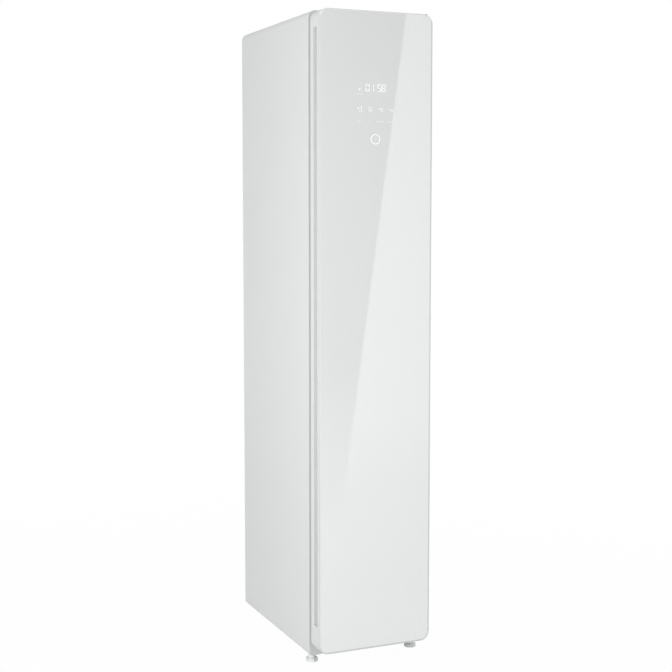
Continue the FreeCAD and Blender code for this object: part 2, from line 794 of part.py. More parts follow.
def foot(name, x, y):
    """A threaded stem with a nut, on a six-sided pad."""
    stem_base = size.pad_height + size.rest_clearance
    nut_top = body_base - size.rest_clearance
    stem = fused(
        f"{name}_foot_stem",
        rod("foot_nut", "z", (x, y), size.collar_radius, (stem_base, nut_top)),
        rod("foot_thread", "z", (x, y), size.stem_radius, (nut_top, nut_top + size.stem_length)),
    )
    keep(f"{name}_foot_stem", stem)
    pad = doc.addObject("Part::Prism", f"{name}_foot_pad")
    pad.Polygon = 6
    turn = FreeCAD.Rotation(FreeCAD.Vector(0, 0, 1), size.pad_turn.value)
    pad.Placement = FreeCAD.Placement(FreeCAD.Vector(), turn)
    pad.setExpression("Placement.Rotation.Angle", size.pad_turn.text)
    pad.setExpression("Circumradius", size.pad_radius.text)
    pad.setExpression("Height", size.pad_height.text)
    pad.setExpression("Placement.Base.x", x.text)
    pad.setExpression("Placement.Base.y", y.text)
    keep(f"{name}_foot_pad", pad)


def feet():
    """Four feet, one under each corner."""
    names = ("front_left", "front_right", "rear_left", "rear_right")
    for name, (x, y) in zip(names, foot_places):
        foot(name, x, y)


# ---- Door ------------------------------------------------------------------------------------------


def door_outline(inset):
    """The door's front outline, set in by a distance."""
    corner = size.door_corner - inset
    return rectangle(
        both_ways(half_width - inset), (door_base + inset, door_top - inset), corner, corner
    )


def grip_spans(grow):
    """The grip channel's spans in Y and Z, grown by a wall."""
    rear = door_back - size.grip_rear_rim
    return (
        (rear - size.grip_width - grow, rear + grow),
        (door_base + size.grip_lift - grow, door_top - size.grip_drop + grow),
    )


def boss_spans():
    """The Z spans of the two hinge bosses."""
    low = door_base + size.boss_offset
    high = door_top - size.boss_offset
    return ((low, low + size.boss_height), (high - size.boss_height, high))


def magnet_spans():
    """The closing magnets' span in X, and their spans in Z."""
    left = -half_width + size.door_wall + size.magnet_edge
    middle = (door_base + door_top) / 2
    upright = [about(middle + side * size.magnet_spacing / 2, size.magnet_length) for side in (-1, 1)]
    return (left, left + size.magnet_width), upright


def window_spans():
    """The display window's spans in X and Z."""
    top = door_top - size.window_drop
    return both_ways(size.window_width / 2), (top - size.window_height, top)


def door_glass():
    """Back-painted front glass over the whole door, with a rounded edge."""
    part = Workpiece("door_glass")
    part.add("XZ", (door_front, glass_back), door_outline(as_size(0)))
    part.round_front(size.glass_edge)
    part.done()


def door_frame():
    """Moulded tray behind the glass, with a slot for the grip and a boss at each hinge."""
    part = Workpiece("door_frame")
    part.add("XZ", (glass_back, door_back), door_outline(as_size(0)))
    part.remove("XZ", (web_back, door_back), door_outline(size.door_wall))
    boss = rectangle(
        (pivot_x - size.boss_margin, half_width - size.door_wall), (web_back, door_back - size.door_panel)
    )
    for span in boss_spans():
        part.add("XY", span, boss)
    part.remove("XZ", (glass_back, web_back), rectangle(*window_spans()))
    depth, upright = grip_spans(size.grip_wall)
    slot = rectangle(depth, upright)
    part.remove("YZ", (-half_width, -half_width + size.door_wall), slot)
    bush = size.hinge_pin_radius + size.bush_wall
    for span in boss_spans():
        part.remove("XY", span, (pivot_x, pivot_y, bush))
    pin_hole = bush - size.bush_wall / 2
    part.remove("XY", (door_base, boss_spans()[0][0]), (pivot_x, pivot_y, pin_hole))
    part.remove("XY", (boss_spans()[1][1], door_top), (pivot_x, pivot_y, pin_hole))
    part.done()


def door_grip():
    """Channel with bevelled lips, let into the door's left side, to pull the door open by."""
    part = Workpiece("door_grip")
    reach = -half_width + size.grip_reach
    part.add("YZ", (-half_width, reach + size.grip_wall), rectangle(*grip_spans(size.grip_wall)))
    part.remove("YZ", (-half_width, reach), rectangle(*grip_spans(as_size(0))))
    depth, upright = grip_spans(as_size(0))
    for lip, way in zip(depth, (-1, 1)):
        bevel = [
            (-half_width, lip, None),
            (-half_width + size.grip_chamfer, lip, None),
            (-half_width, lip + way * size.grip_chamfer, None),
        ]
        part.remove("XY", upright, bevel)
    part.done()


def door_inner_panel():
    """Moulded panel that closes the back of the door and holds the magnets."""
    part = Workpiece("door_inner_panel")
    thickness = (door_back - size.door_panel, door_back)
    part.add("XZ", thickness, door_outline(size.door_wall))
    across, upright = magnet_spans()
    part.remove("XZ", thickness, *[rectangle(across, span) for span in upright])
    part.done()


def door_gasket():
    """Soft seal on the door's back, round the opening."""
    part = Workpiece("door_gasket")
    thickness = (door_back, body_front - size.rest_clearance)
    inner = size.gasket_overlap
    outer = inner + size.gasket_width
    for grow, work in ((outer, part.add), (inner, part.remove)):
        corner = size.opening_corner + grow
        spans = both_ways(chamber_half + grow), (well_floor - grow, ceiling + grow)
        work("XZ", thickness, rectangle(*spans, corner, corner))
    part.done()


def door_core():
    """Foam that fills the door between the grip and the hinge bosses."""
    clearance = size.rest_clearance
    left = -half_width + size.grip_reach + size.grip_wall + clearance
    right = pivot_x - size.boss_margin - clearance
    depth = (web_back + clearance, door_back - size.door_panel - clearance)
    upright = (door_base + size.door_wall + clearance, door_top - size.door_wall - clearance)
    keep("door_core", block("door_core", (left, right), depth, upright))


def display_board():
    """Circuit board with a lamp block, set in the window behind the glass."""
    across, upright = window_spans()
    clearance = size.rest_clearance
    board = block(
        "display_board_plate",
        (across[0] + clearance, across[1] - clearance),
        (web_back - size.board_thickness, web_back),
        (upright[0] + clearance, upright[1] - clearance),
    )
    lamps = block(
        "display_lamps",
        both_ways(size.lamp_block_width / 2),
        (glass_back, web_back - size.board_thickness),
        about((upright[0] + upright[1]) / 2, size.lamp_block_height),
    )
    keep("display_board", fused("display_board", board, lamps))


def door_magnets():
    """Two magnets that hold the door shut."""
    across, upright = magnet_spans()
    depth = (door_back - size.door_panel, body_front - size.strike_steel - size.rest_clearance)
    keep("door_magnets", grouped("door_magnets", *[block("magnet", across, depth, z) for z in upright]))


def strike_plates():
    """Steel plates on the front frame that face the magnets."""
    across, upright = magnet_spans()
    depth = (body_front - size.strike_steel, body_front)
    keep("strike_plates", grouped("strike_plates", *[block("strike", across, depth, z) for z in upright]))


# ---- Hinges ----------------------------------------------------------------------------------------


def hinge_bracket(label, plate, leg):
    """A plate past the door's end, bent to a leg that is screwed to the front frame."""
    centre = (pivot_x, pivot_y)
    across = (pivot_x - size.bracket_reach, pivot_x + size.bracket_nose)
    solid = fused(
        f"{label}_solid",
        block(f"{label}_plate", across, (pivot_y - size.bracket_nose, body_front), plate),
        block(
            f"{label}_leg",
            (across[0], pivot_x - size.bracket_screw_reach + size.bracket_nose),
            (body_front - size.bracket_steel, body_front),
            leg,
        ),
    )
    tools = [rod(f"{label}_pin_hole", "z", centre, size.hinge_pin_radius, plate)]
    seat = (body_front - size.bracket_steel, body_front)
    for place in bracket_screw_places():
        tools.append(rod(f"{label}_screw_hole", "y", place, size.screw_radius, seat))
    keep(label, cut(label, solid, *tools))


def hinge_plates():
    """The Z spans of the lower and upper bracket plates."""
    low = door_base - size.bracket_gap
    high = door_top + size.bracket_gap
    return (low - size.bracket_steel, low), (high, high + size.bracket_steel)


def hinges():
    """Brackets, pins and bushes at both ends of the door."""
    low, high = hinge_plates()
    hinge_bracket("lower_hinge_bracket", low, (low[0], low[1] + size.bracket_leg))
    hinge_bracket("upper_hinge_bracket", high, (high[0] - size.bracket_leg, high[1]))
    centre = (pivot_x, pivot_y)
    bushes = boss_spans()
    low_bush = (bushes[0][0], bushes[0][0] + size.bush_length)
    high_bush = (bushes[1][1] - size.bush_length, bushes[1][1])
    radius = size.hinge_pin_radius
    pins = (
        rod("lower_hinge_pin", "z", centre, radius, (low[0], low_bush[1])),
        rod("upper_hinge_pin", "z", centre, radius, (high_bush[0], high[1])),
    )
    keep("hinge_pins", grouped("hinge_pins", *pins))
    sleeves = []
    for span in (low_bush, high_bush):
        sleeve = rod("hinge_sleeve", "z", centre, radius + size.bush_wall, span)
        bore = rod("hinge_bore", "z", centre, radius + size.running_clearance, span)
        sleeves.append(cut("hinge_bush", sleeve, bore))
    keep("hinge_bushes", grouped("hinge_bushes", *sleeves))


# ---- Garment chamber -------------------------------------------------------------------------------


def post_x_places():
    """X of the two hanger posts."""
    return (-size.post_spacing / 2, size.post_spacing / 2)


def post_slots():
    """The slots in which the hanger posts swing to and fro."""
    half_length = size.post_radius + size.hanger_travel + size.slot_clearance
    half_breadth = size.post_radius + size.slot_clearance
    slots = []
    for x in post_x_places():
        slots.append(
            rectangle(
                (x - half_length, x + half_length),
                (chamber_middle - half_breadth, chamber_middle + half_breadth),
            )
        )
    return slots


def filter_spans(grow):
    """The lint basket's spans in X and Y, grown by a margin."""
    front = well_back + size.filter_setback
    return (
        both_ways(chamber_half - size.filter_side_gap + grow),
        (front - grow, front + size.filter_depth + grow),
    )


def outlet_spans(grow):
    """The air outlet's spans in X and Z, grown by a margin."""
    top = ceiling - size.outlet_drop
    return (
        both_ways(size.outlet_width / 2 + grow),
        (top - size.outlet_height - grow, top + grow),
    )


def nozzle_place():
    """X and Y of the steam nozzle, straight above the steam generator's outlet."""
    return -chamber_half + size.nozzle_edge, well_back + size.boiler_setback + size.boiler_depth / 2


def shelf_span():
    """The shelf's span in Y."""
    rear = chamber_back - size.shelf_rear_gap
    return rear - size.shelf_depth, rear


def chamber_liner():
    """Moulded sides, back and ceiling of the chamber, with ledges for the shelf."""
    part = Workpiece("chamber_liner")
    wall = size.liner_wall
    upright = (chamber_floor, ceiling)
    outside = rectangle(both_ways(chamber_half + wall), (frame_back, chamber_back + wall))
    part.add("XY", (chamber_floor, tray_base), outside)
    part.remove("XY", upright, rectangle(both_ways(chamber_half), (frame_back, chamber_back)))
    part.remove("XY", (ceiling, tray_base), *post_slots())
    part.remove("XZ", (chamber_back, chamber_back + wall), rectangle(*outlet_spans(as_size(0))))
    rear_end = shelf_span()[1]
    front_end = shelf_span()[0] + size.ledge_length
    ledge_top = chamber_floor + size.shelf_lift - size.rest_clearance
    height = (ledge_top - size.ledge_height, ledge_top)
    ledges = [rectangle((end - size.ledge_length, end), height) for end in (front_end, rear_end)]
    part.add("YZ", (-chamber_half - wall, -chamber_half + size.ledge_reach), *ledges)
    part.add("YZ", (chamber_half - size.ledge_reach, chamber_half + wall), *ledges)
    part.done()


def base_moulding():
    """Moulded floor of the chamber, with the tank well let down at its front."""
    part = Workpiece("base_moulding")
    wall = size.liner_wall
    across = both_ways(chamber_half + wall)
    rear = chamber_back + wall
    part.add("XY", (floor_underside, chamber_floor), rectangle(across, (frame_back, rear)))
    well_outside = rectangle(across, (frame_back, well_back + wall))
    part.add("XY", (well_floor - wall, floor_underside), well_outside)
    well_inside = rectangle(both_ways(chamber_half), (frame_back, well_back))
    part.remove("XY", (well_floor, chamber_floor), well_inside)
    floor_skin = (floor_underside, chamber_floor)
    part.remove("XY", floor_skin, rectangle(*filter_spans(size.filter_clearance)))
    part.remove("XY", floor_skin, (*nozzle_place(), size.hose_radius))
    part.done()


def insulation_boards():
    """A foam board against each side of the liner."""
    inner = chamber_half + size.liner_wall
    boards = []
    for low, high in ((-inner - size.board_foam, -inner), (inner, inner + size.board_foam)):
        boards.append(block("foam_board", (low, high), (frame_back, chamber_back), (chamber_floor, ceiling)))
    keep("insulation_boards", grouped("insulation_boards", *boards))


def chamber_lamp():
    """Light bar under the ceiling, near the door."""
    front = body_front + size.lamp_setback
    lamp = block(
        "chamber_lamp",
        both_ways(size.lamp_width / 2),
        (front, front + size.lamp_depth),
        (ceiling - size.lamp_height, ceiling),
    )
    keep("chamber_lamp", lamp)


def garment_shelf():
    """Slotted shelf that lies loose on the liner's ledges."""
    part = Workpiece("garment_shelf")
    front, rear = shelf_span()
    low = chamber_floor + size.shelf_lift
    span = (low, low + size.shelf_thickness)
    half = chamber_half - size.shelf_side_gap
    part.add("XY", span, rectangle(both_ways(half), (front, rear)))
    start = front + size.shelf_border
    slot = rectangle(both_ways(half - size.shelf_border), (start, start + size.shelf_slot))
    part.repeat(part.remove("XY", span, slot), "Y", size.shelf_slot_pitch, size.shelf_slot_count)
    part.done()


def air_outlet_grille():
    """Slotted grille over the outlet in the chamber's back."""
    part = Workpiece("air_outlet_grille")
    thickness = (chamber_back - size.grille_thickness, chamber_back)
    part.add("XZ", thickness, rectangle(*outlet_spans(size.outlet_flange)))
    across, upright = outlet_spans(as_size(0))
    slot = rectangle(across, (upright[0], upright[0] + size.grille_slot))
    part.repeat(part.remove("XZ", thickness, slot), "Z", size.grille_pitch, size.grille_count)
    part.done()


# ---- Tanks and lint filter -------------------------------------------------------------------------


def tank(label, across):
    """An open tank and its loose lid."""
    depth = (body_front + size.tank_front_gap, well_back - size.tank_rear_gap)
    rim = chamber_floor - size.tank_drop
    wall = size.tank_wall
    part = Workpiece(label)
    corner = size.tank_corner
    outside = rectangle(across, depth, corner, corner)
    inside = rectangle(
        (across[0] + wall, across[1] - wall),
        (depth[0] + wall, depth[1] - wall),
        corner - wall,
        corner - wall,
    )
    low = well_floor + size.rest_clearance
    part.add("XY", (low, rim), outside)
    part.remove("XY", (low + wall, rim), inside)
    part.done()
    lid = Workpiece(f"{label}_lid")
    lid_base = rim + size.rest_clearance
    lid_top = lid_base + size.lid_thickness
    lid.add("XY", (lid_base, lid_top), outside)
    gap = wall + size.rest_clearance
    plug = rectangle(
        (across[0] + gap, across[1] - gap),
        (depth[0] + gap, depth[1] - gap),
        corner - gap,
        corner - gap,
    )
    lid.add("XY", (lid_base - size.lid_plug, lid_base), plug)
    middle_x = (across[0] + across[1]) / 2
    middle_y = (depth[0] + depth[1]) / 2
    grip = rectangle(about(middle_x, size.lid_grip_length), about(middle_y, size.lid_grip_width))
    lid.add("XY", (lid_top, lid_top + size.lid_grip_height), grip)
    lid.done()


def tanks():
    """The fresh water tank on the left and the drain tank on the right."""
    near = size.tank_middle_gap
    far = chamber_half - size.tank_side_gap
    tank("water_tank", (-far, -near))
    tank("drain_tank", (near, far))


def lint_filter():
    """Flanged basket with a slotted floor, which hangs in the chamber's floor."""
    part = Workpiece("lint_filter")
    seat = chamber_floor + size.rest_clearance
    low = chamber_floor - size.filter_drop
    top = seat + size.filter_wall
    part.add("XY", (low, seat), rectangle(*filter_spans(as_size(0))))
    part.add("XY", (seat, top), rectangle(*filter_spans(size.filter_rim)))
    inside = rectangle(*filter_spans(-size.filter_wall))
    part.remove("XY", (low + size.filter_wall, top), inside)
    first = -size.filter_slot_pitch * (size.filter_slot_count - 1) / 2
    depth = filter_spans(-size.filter_wall * 2)[1]
    slot = rectangle(about(first, size.filter_slot), depth)
    cut_slot = part.remove("XY", (low, low + size.filter_wall), slot)
    part.repeat(cut_slot, "X", size.filter_slot_pitch, size.filter_slot_count)
    part.done()


# ---- Moving hanger ---------------------------------------------------------------------------------


def rod_axes():
    """Y and Z of the two guide rods."""
    height = tray_top + size.rod_lift
    half = size.rod_spacing / 2
    return ((chamber_middle - half, height), (chamber_middle + half, height))


def carriage_span():
    """The carriage's span in Z."""
    return about(tray_top + size.rod_lift, size.carriage_thickness)


def disc_span():
    """The crank disc's span in Z."""
    low = carriage_span()[1] + size.disc_gap
    return low, low + size.disc_thickness


def top_tray():
    """Steel tray over the ceiling, with the rod blocks and the bridge for the motor."""
    part = Workpiece("top_tray")
    part.add("XY", (tray_base, tray_top), rectangle(both_ways(inner_half), (frame_back, chamber_back)))
    part.remove("XY", (tray_base, tray_top), *post_slots())
    block_top = tray_top + size.rod_lift + size.carriage_margin
    half = chamber_half - size.rod_end_gap
    for low, high in ((-half, size.rod_block - half), (half - size.rod_block, half)):
        ends = [rectangle((low, high), about(y, size.rod_block * 2)) for y, _ in rod_axes()]
        part.add("XY", (tray_top, block_top), *ends)
    for y, z in rod_axes():
        part.remove("YZ", both_ways(half), (y, z, size.rod_radius))
    bridge_base = disc_span()[1] + size.bridge_gap
    bridge_top = bridge_base + size.tray_steel
    outer = size.bridge_span / 2
    across = both_ways(size.bridge_width / 2)
    section = [
        (chamber_middle - outer, tray_top, None),
        (chamber_middle - outer + size.tray_steel, tray_top, None),
        (chamber_middle - outer + size.tray_steel, bridge_base, None),
        (chamber_middle + outer - size.tray_steel, bridge_base, None),
        (chamber_middle + outer - size.tray_steel, tray_top, None),
        (chamber_middle + outer, tray_top, None),
        (chamber_middle + outer, bridge_top, None),
        (chamber_middle - outer, bridge_top, None),
    ]
    part.add("YZ", across, section)
    shaft_hole = size.shaft_radius + size.slot_clearance
    part.remove("XY", (bridge_base, bridge_top), (as_size(0), chamber_middle, shaft_hole))
    part.done()


def guide_rods():
    """The two rods that the hanger carriage runs on."""
    span = both_ways(chamber_half - size.rod_end_gap)
    rods = [rod("guide_rod", "x", axis, size.rod_radius, span) for axis in rod_axes()]
    keep("guide_rods", grouped("guide_rods", *rods))


def hanger_carriage():
    """Carriage on the rods, with two posts down through the ceiling to the bar's clamps."""
    part = Workpiece("hanger_carriage")
    span = carriage_span()
    half_depth = size.rod_spacing / 2 + size.carriage_margin
    depth = (chamber_middle - half_depth, chamber_middle + half_depth)
    part.add("XY", span, rectangle(both_ways(size.carriage_length / 2), depth))
    bar_z = ceiling - size.bar_drop
    posts = [(x, chamber_middle, size.post_radius) for x in post_x_places()]
    part.add("XY", (bar_z + size.bar_radius, span[0]), *posts)
    for x in post_x_places():
        clamp = about(x, size.clamp_length)
        part.add("YZ", clamp, (chamber_middle, bar_z, size.bar_radius + size.clamp_wall))
        part.remove("YZ", clamp, (chamber_middle, bar_z, size.bar_radius))
    bore = size.rod_radius + size.running_clearance
    for y, z in rod_axes():
        part.remove("YZ", both_ways(size.carriage_length / 2), (y, z, bore))
    half_slot = size.crank_pin_radius + size.crank_slot_clearance
    reach = size.crank_radius + half_slot
    part.remove(
        "XY", span, rectangle(both_ways(half_slot), (chamber_middle - half_slot, chamber_middle + reach))
    )
    part.done()


def hanger_bar():
    """Tube that the clothes hangers hook over."""
    span = both_ways(chamber_half - size.bar_end_gap)
    axis = (chamber_middle, ceiling - size.bar_drop)
    outside = rod("hanger_tube", "x", axis, size.bar_radius, span)
    inside = rod("hanger_tube_bore", "x", axis, size.bar_radius - size.bar_wall, span)
    keep("hanger_bar", cut("hanger_bar", outside, inside))


def crank_disc():
    """Disc on the motor's shaft, whose pin drives the carriage's slot."""
    low, high = disc_span()
    centre = (as_size(0), chamber_middle)
    pin = (as_size(0), chamber_middle + size.crank_radius)
    solid = fused(
        "crank_solid",
        rod("crank_plate", "z", centre, size.disc_radius, (low, high)),
        rod("crank_pin", "z", pin, size.crank_pin_radius, (low - size.crank_pin_length, low)),
    )
    bore = rod("crank_bore", "z", centre, size.shaft_radius + size.running_clearance, (low, high))
    keep("crank_disc", cut("crank_disc", solid, bore))


def drive_motor():
    """Geared motor on the bridge, with its shaft down into the crank disc."""
    low, high = disc_span()
    seat = high + size.bridge_gap + size.tray_steel
    centre = (as_size(0), chamber_middle)
    motor = fused(
        "drive_motor",
        rod("drive_motor_case", "z", centre, size.motor_radius, (seat, seat + size.motor_height)),
        rod("drive_motor_shaft", "z", centre, size.shaft_radius, (low, seat)),
    )
    keep("drive_motor", motor)


def control_board():
    """Main circuit board on standoffs, with a transformer."""
    left = -inner_half + size.control_edge
    front = chamber_middle + size.control_setback
    across = (left, left + size.control_width)
    depth = (front, front + size.control_depth)
    low = tray_top + size.standoff_height
    top = low + size.board_thickness
    items = [block("control_plate", across, depth, (low, top))]
    margin = size.standoff_radius * 2
    for x in (across[0] + margin, across[1] - margin):
        for y in (depth[0] + margin, depth[1] - margin):
            items.append(rod("standoff", "z", (x, y), size.standoff_radius, (tray_top, low)))
    transformer = block(
        "transformer",
        (across[0] + margin, across[1] - margin),
        about(front + size.control_depth / 2, size.transformer_depth),
        (top, top + size.transformer_height),
    )
    keep("control_board", fused("control_board", *items, transformer))


# ---- Air path --------------------------------------------------------------------------------------


def fan_box_span():
    """The blower housing's span in Z."""
    high = floor_underside - size.fan_plenum
    return high - size.fan_box_height, high


def fan_space_radius():
    """Radius of the round space in the blower housing."""
    return size.wheel_radius + size.wheel_gap


def fan_axis_y():
    """Y of the blower's axis, a wall and a margin in front of the rear duct."""
    return chamber_back + size.liner_wall - size.fan_box_margin - fan_space_radius()


def fan_box_front():
    """Y of the front of the blower housing."""
    return fan_axis_y() - fan_space_radius() - size.fan_box_margin


def outlet_half():
    """Half the width of the passages between the blower and the duct."""
    return size.duct_width / 2 - size.duct_wall * 2


def rear_duct():
    """Duct behind the chamber, from the blower up to the outlet."""
    part = Workpiece("rear_duct")
    front = chamber_back + size.liner_wall
    depth = (front, front + size.duct_depth)
    low = fan_box_span()[0]
    high = outlet_spans(as_size(0))[1][1] + size.duct_wall
    wall = size.duct_wall
    part.add("XY", (low, high), rectangle(both_ways(size.duct_width / 2), depth))
    inside = rectangle(both_ways(size.duct_width / 2 - wall), (depth[0] + wall, depth[1] - wall))
    part.remove("XY", (low + wall, high - wall), inside)
    window = both_ways(outlet_half())
    part.remove("XZ", (front, front + wall), rectangle(window, outlet_spans(-wall)[1]))
    box = fan_box_span()
    passage = (box[0] + size.fan_box_wall * 2, box[1] - size.fan_box_wall * 2)
    part.remove("XZ", (front, front + wall), rectangle(window, passage))
    part.done()


def fan_housing():
    """Blower housing hung under the chamber's floor, open to the rear duct."""
    part = Workpiece("fan_housing")
    low, high = fan_box_span()
    centre_y = fan_axis_y()
    radius = fan_space_radius()
    rear = chamber_back + size.liner_wall
    depth = (fan_box_front(), rear)
    wall = size.fan_box_wall
    half = radius + size.fan_box_margin
    part.add("XY", (low, high), rectangle(both_ways(half), depth))
    part.remove("XY", (low + wall, high - wall), (as_size(0), centre_y, radius))
    passage = rectangle(both_ways(outlet_half()), (centre_y, rear))
    part.remove("XY", (low + wall * 2, high - wall * 2), passage)
    part.remove("XY", (high - wall, high), (as_size(0), centre_y, size.inlet_radius))
    part.remove("XY", (low, low + wall), (as_size(0), centre_y, size.shaft_radius + size.slot_clearance))
    margin = size.post_bolt * 1.5
    hangers = []
    for x in (-half + margin, half - margin):
        for y in (depth[0] + margin, depth[1] - margin):
            hangers.append((x, y, size.post_bolt))
    part.add("XY", (high, floor_underside), *hangers)
    part.done()


def wheel_base():
    """Z of the blower wheel's plate."""
    return fan_box_span()[0] + size.fan_box_height / 2 - size.wheel_height / 2


def fan_wheel():
    """Blower wheel: a plate, a ring of blades and a top ring, bored for the shaft."""
    part = Workpiece("fan_wheel")
    zero = as_size(0)
    part.add("XY", (zero, size.wheel_plate), (zero, zero, size.wheel_radius))
    part.add("XY", (size.wheel_plate, size.wheel_height / 2), (zero, zero, size.wheel_hub))
    inner = size.wheel_radius - size.wheel_rim
    along = (inner + size.blade_inset, size.wheel_radius - size.blade_inset)
    blade = rectangle(along, both_ways(size.blade_thickness / 2))
    first = part.add("XY", (size.wheel_plate, size.wheel_height - size.wheel_plate), blade)
    part.repeat_round(first, size.blade_count)
    part.add(
        "XY",
        (size.wheel_height - size.wheel_plate, size.wheel_height),
        (zero, zero, size.wheel_radius),
        (zero, zero, inner),
    )
    bore = size.shaft_radius + size.running_clearance
    part.remove("XY", (zero, size.wheel_height / 2), (zero, zero, bore))
    part.place(0, fan_axis_y(), wheel_base())
    part.done()


def fan_motor():
    """Motor under the blower housing, with its shaft up into the wheel."""
    top = fan_box_span()[0]
    centre = (as_size(0), fan_axis_y())
    shaft_top = wheel_base() + size.wheel_height / 2
    motor = fused(
        "fan_motor",
        rod("fan_motor_case", "z", centre, size.fan_motor_radius, (top - size.fan_motor_height, top)),
        rod("fan_motor_shaft", "z", centre, size.shaft_radius, (top, shaft_top)),
    )
    keep("fan_motor", motor)


# ---- Heat pump and steam ---------------------------------------------------------------------------


def coil_half():
    """Half the width of the coils."""
    return chamber_half - size.coil_side_gap


def coil(label, front):
    """A finned coil hung under the chamber's floor."""
    part = Workpiece(label)
    high = floor_underside
    low = high - size.coil_height
    depth = (front, front + size.coil_depth)
    half = coil_half()
    start = -half
    fin = part.add("YZ", (start, start + size.fin_thickness), rectangle(depth, (low, high)))
    pitch = (half * 2 - size.fin_thickness) / (size.fin_count - 1)
    part.repeat(fin, "X", pitch, size.fin_count)
    middle = front + size.coil_depth / 2
    rows = int(size.coil_tube_rows.value)
    step = size.coil_height / rows
    tubes = [(middle, low + step * (row + 0.5), size.coil_tube) for row in range(rows)]
    part.add("YZ", both_ways(half), *tubes)
    part.done()


def coil_fronts():
    """Y of the front of the evaporator and of the condenser."""
    condenser = fan_box_front() - size.coil_rear_gap - size.coil_depth
    return condenser - size.coil_gap - size.coil_depth, condenser


def coils():
    """The evaporator, and the condenser behind it."""
    evaporator, condenser = coil_fronts()
    coil("evaporator_coil", evaporator)
    coil("condenser_coil", condenser)


def compressor_place():
    """X and Y of the compressor's axis."""
    return (
        inner_half - size.pan_steel - size.compressor_edge - size.compressor_radius,
        panel_front - size.compressor_rear,
    )


def compressor_base():
    """Z of the compressor's mounting plate."""
    return pan_floor + size.grommet_height


def compressor():
    """Hermetic compressor: a domed shell on a mounting plate."""
    x, y = compressor_place()
    low = compressor_base()
    shell_base = low + size.compressor_plate
    radius = size.compressor_radius
    dome = size.compressor_dome
    shell_top = shell_base + size.compressor_height
    shell = rod("compressor_shell", "z", (x, y), radius, (shell_base, shell_top - dome))
    cone = doc.addObject("Part::Cone", "compressor_dome")
    cone.setExpression("Radius1", radius.text)
    cone.setExpression("Radius2", (radius - dome).text)
    cone.setExpression("Height", dome.text)
    for axis, amount in zip("xyz", (x, y, shell_top - dome)):
        cone.setExpression(f"Placement.Base.{axis}", amount.text)
    plate = block("compressor_foot", about(x, radius * 2), about(y, radius * 2), (low, shell_base))
    keep("compressor", fused("compressor", plate, shell, cone))


def compressor_mounts():
    """Four rubber mounts under the compressor."""
    x, y = compressor_place()
    reach = size.compressor_radius - size.grommet_radius
    span = (pan_floor, compressor_base())
    mounts = []
    for side in (-1, 1):
        for end in (-1, 1):
            place = (x + side * reach, y + end * reach)
            mounts.append(rod("compressor_mount", "z", place, size.grommet_radius, span))
    keep("compressor_mounts", grouped("compressor_mounts", *mounts))


def boiler_spans():
    """The steam generator's spans in X, Y and Z."""
    left = -inner_half + size.boiler_edge
    front = well_back + size.boiler_setback
    return (
        (left, left + size.boiler_width),
        (front, front + size.boiler_depth),
        (pan_floor, pan_floor + size.boiler_height),
    )


def steam_generator():
    """Boiler on the base pan with a hose stub on top."""
    across, depth, upright = boiler_spans()
    stub = size.hose_radius - size.hose_wall
    generator = fused(
        "steam_generator",
        block("boiler_case", across, depth, upright),
        rod("boiler_stub", "z", nozzle_place(), stub, (upright[1], upright[1] + size.stub_length)),
    )
    keep("steam_generator", generator)


def steam_hose():
    """Hose from the steam generator straight up to the nozzle."""
    top = boiler_spans()[2][1]
    span = (top, floor_underside)
    outside = rod("hose_outside", "z", nozzle_place(), size.hose_radius, span)
    inside = rod("hose_inside", "z", nozzle_place(), size.hose_radius - size.hose_wall, span)
    keep("steam_hose", cut("steam_hose", outside, inside))


def steam_nozzle():
    """Flanged steam outlet in the chamber's floor, with a stub down into the hose."""
    place = nozzle_place()
    top = chamber_floor + size.nozzle_rise
    stub_base = floor_underside - size.stub_length
    solid = fused(
        "nozzle_solid",
        rod("nozzle_flange", "z", place, size.nozzle_radius, (chamber_floor, top)),
        rod("nozzle_neck", "z", place, size.hose_radius, (floor_underside, chamber_floor)),
        rod("nozzle_stub", "z", place, size.hose_radius - size.hose_wall, (stub_base, floor_underside)),
    )
    bore = rod("nozzle_hole", "z", place, size.nozzle_bore, (stub_base, top))
    keep("steam_nozzle", cut("steam_nozzle", solid, bore))


def pump_place():
    """X and Y of the feed pump's axis."""
    across = boiler_spans()[0]
    return (across[0] + across[1]) / 2, well_back + size.pump_rear


def feed_pump():
    """Small pump on the base pan, between the tank well and the steam generator."""
    body = rod("feed_pump", "z", pump_place(), size.pump_radius, (pan_floor, pan_floor + size.pump_height))
    keep("feed_pump", body)


def pipe(name, points, radius):
    """A pipe along straight runs joined by arcs, as a plain solid."""
    spots = [FreeCAD.Vector(*[as_size(amount).value for amount in point]) for point in points]
    edges = []
    start = spots[0]
    for before, corner, after in zip(spots, spots[1:], spots[2:]):
        shorter_run = min((corner - before).Length, (after - corner).Length)
        bend = min(size.pipe_bend.value, shorter_run * BEND_SHARE)
        way_in = (corner - before).normalize()
        way_out = (after - corner).normalize()
        arc_start = corner - way_in * bend
        arc_end = corner + way_out * bend
        centre = corner - way_in * bend + way_out * bend
        arc_middle = centre + (corner - centre).normalize() * bend
        edges.append(Part.LineSegment(start, arc_start).toShape())
        edges.append(Part.Arc(arc_start, arc_middle, arc_end).toShape())
        start = arc_end
    edges.append(Part.LineSegment(start, spots[-1]).toShape())
    path = Part.Wire(edges)
    direction = (spots[1] - spots[0]).normalize()
    section = Part.Wire([Part.Circle(spots[0], direction, as_size(radius).value).toShape()])
    item = doc.addObject("Part::Feature", name)
    item.Shape = path.makePipeShell([section], True, False)
    return item


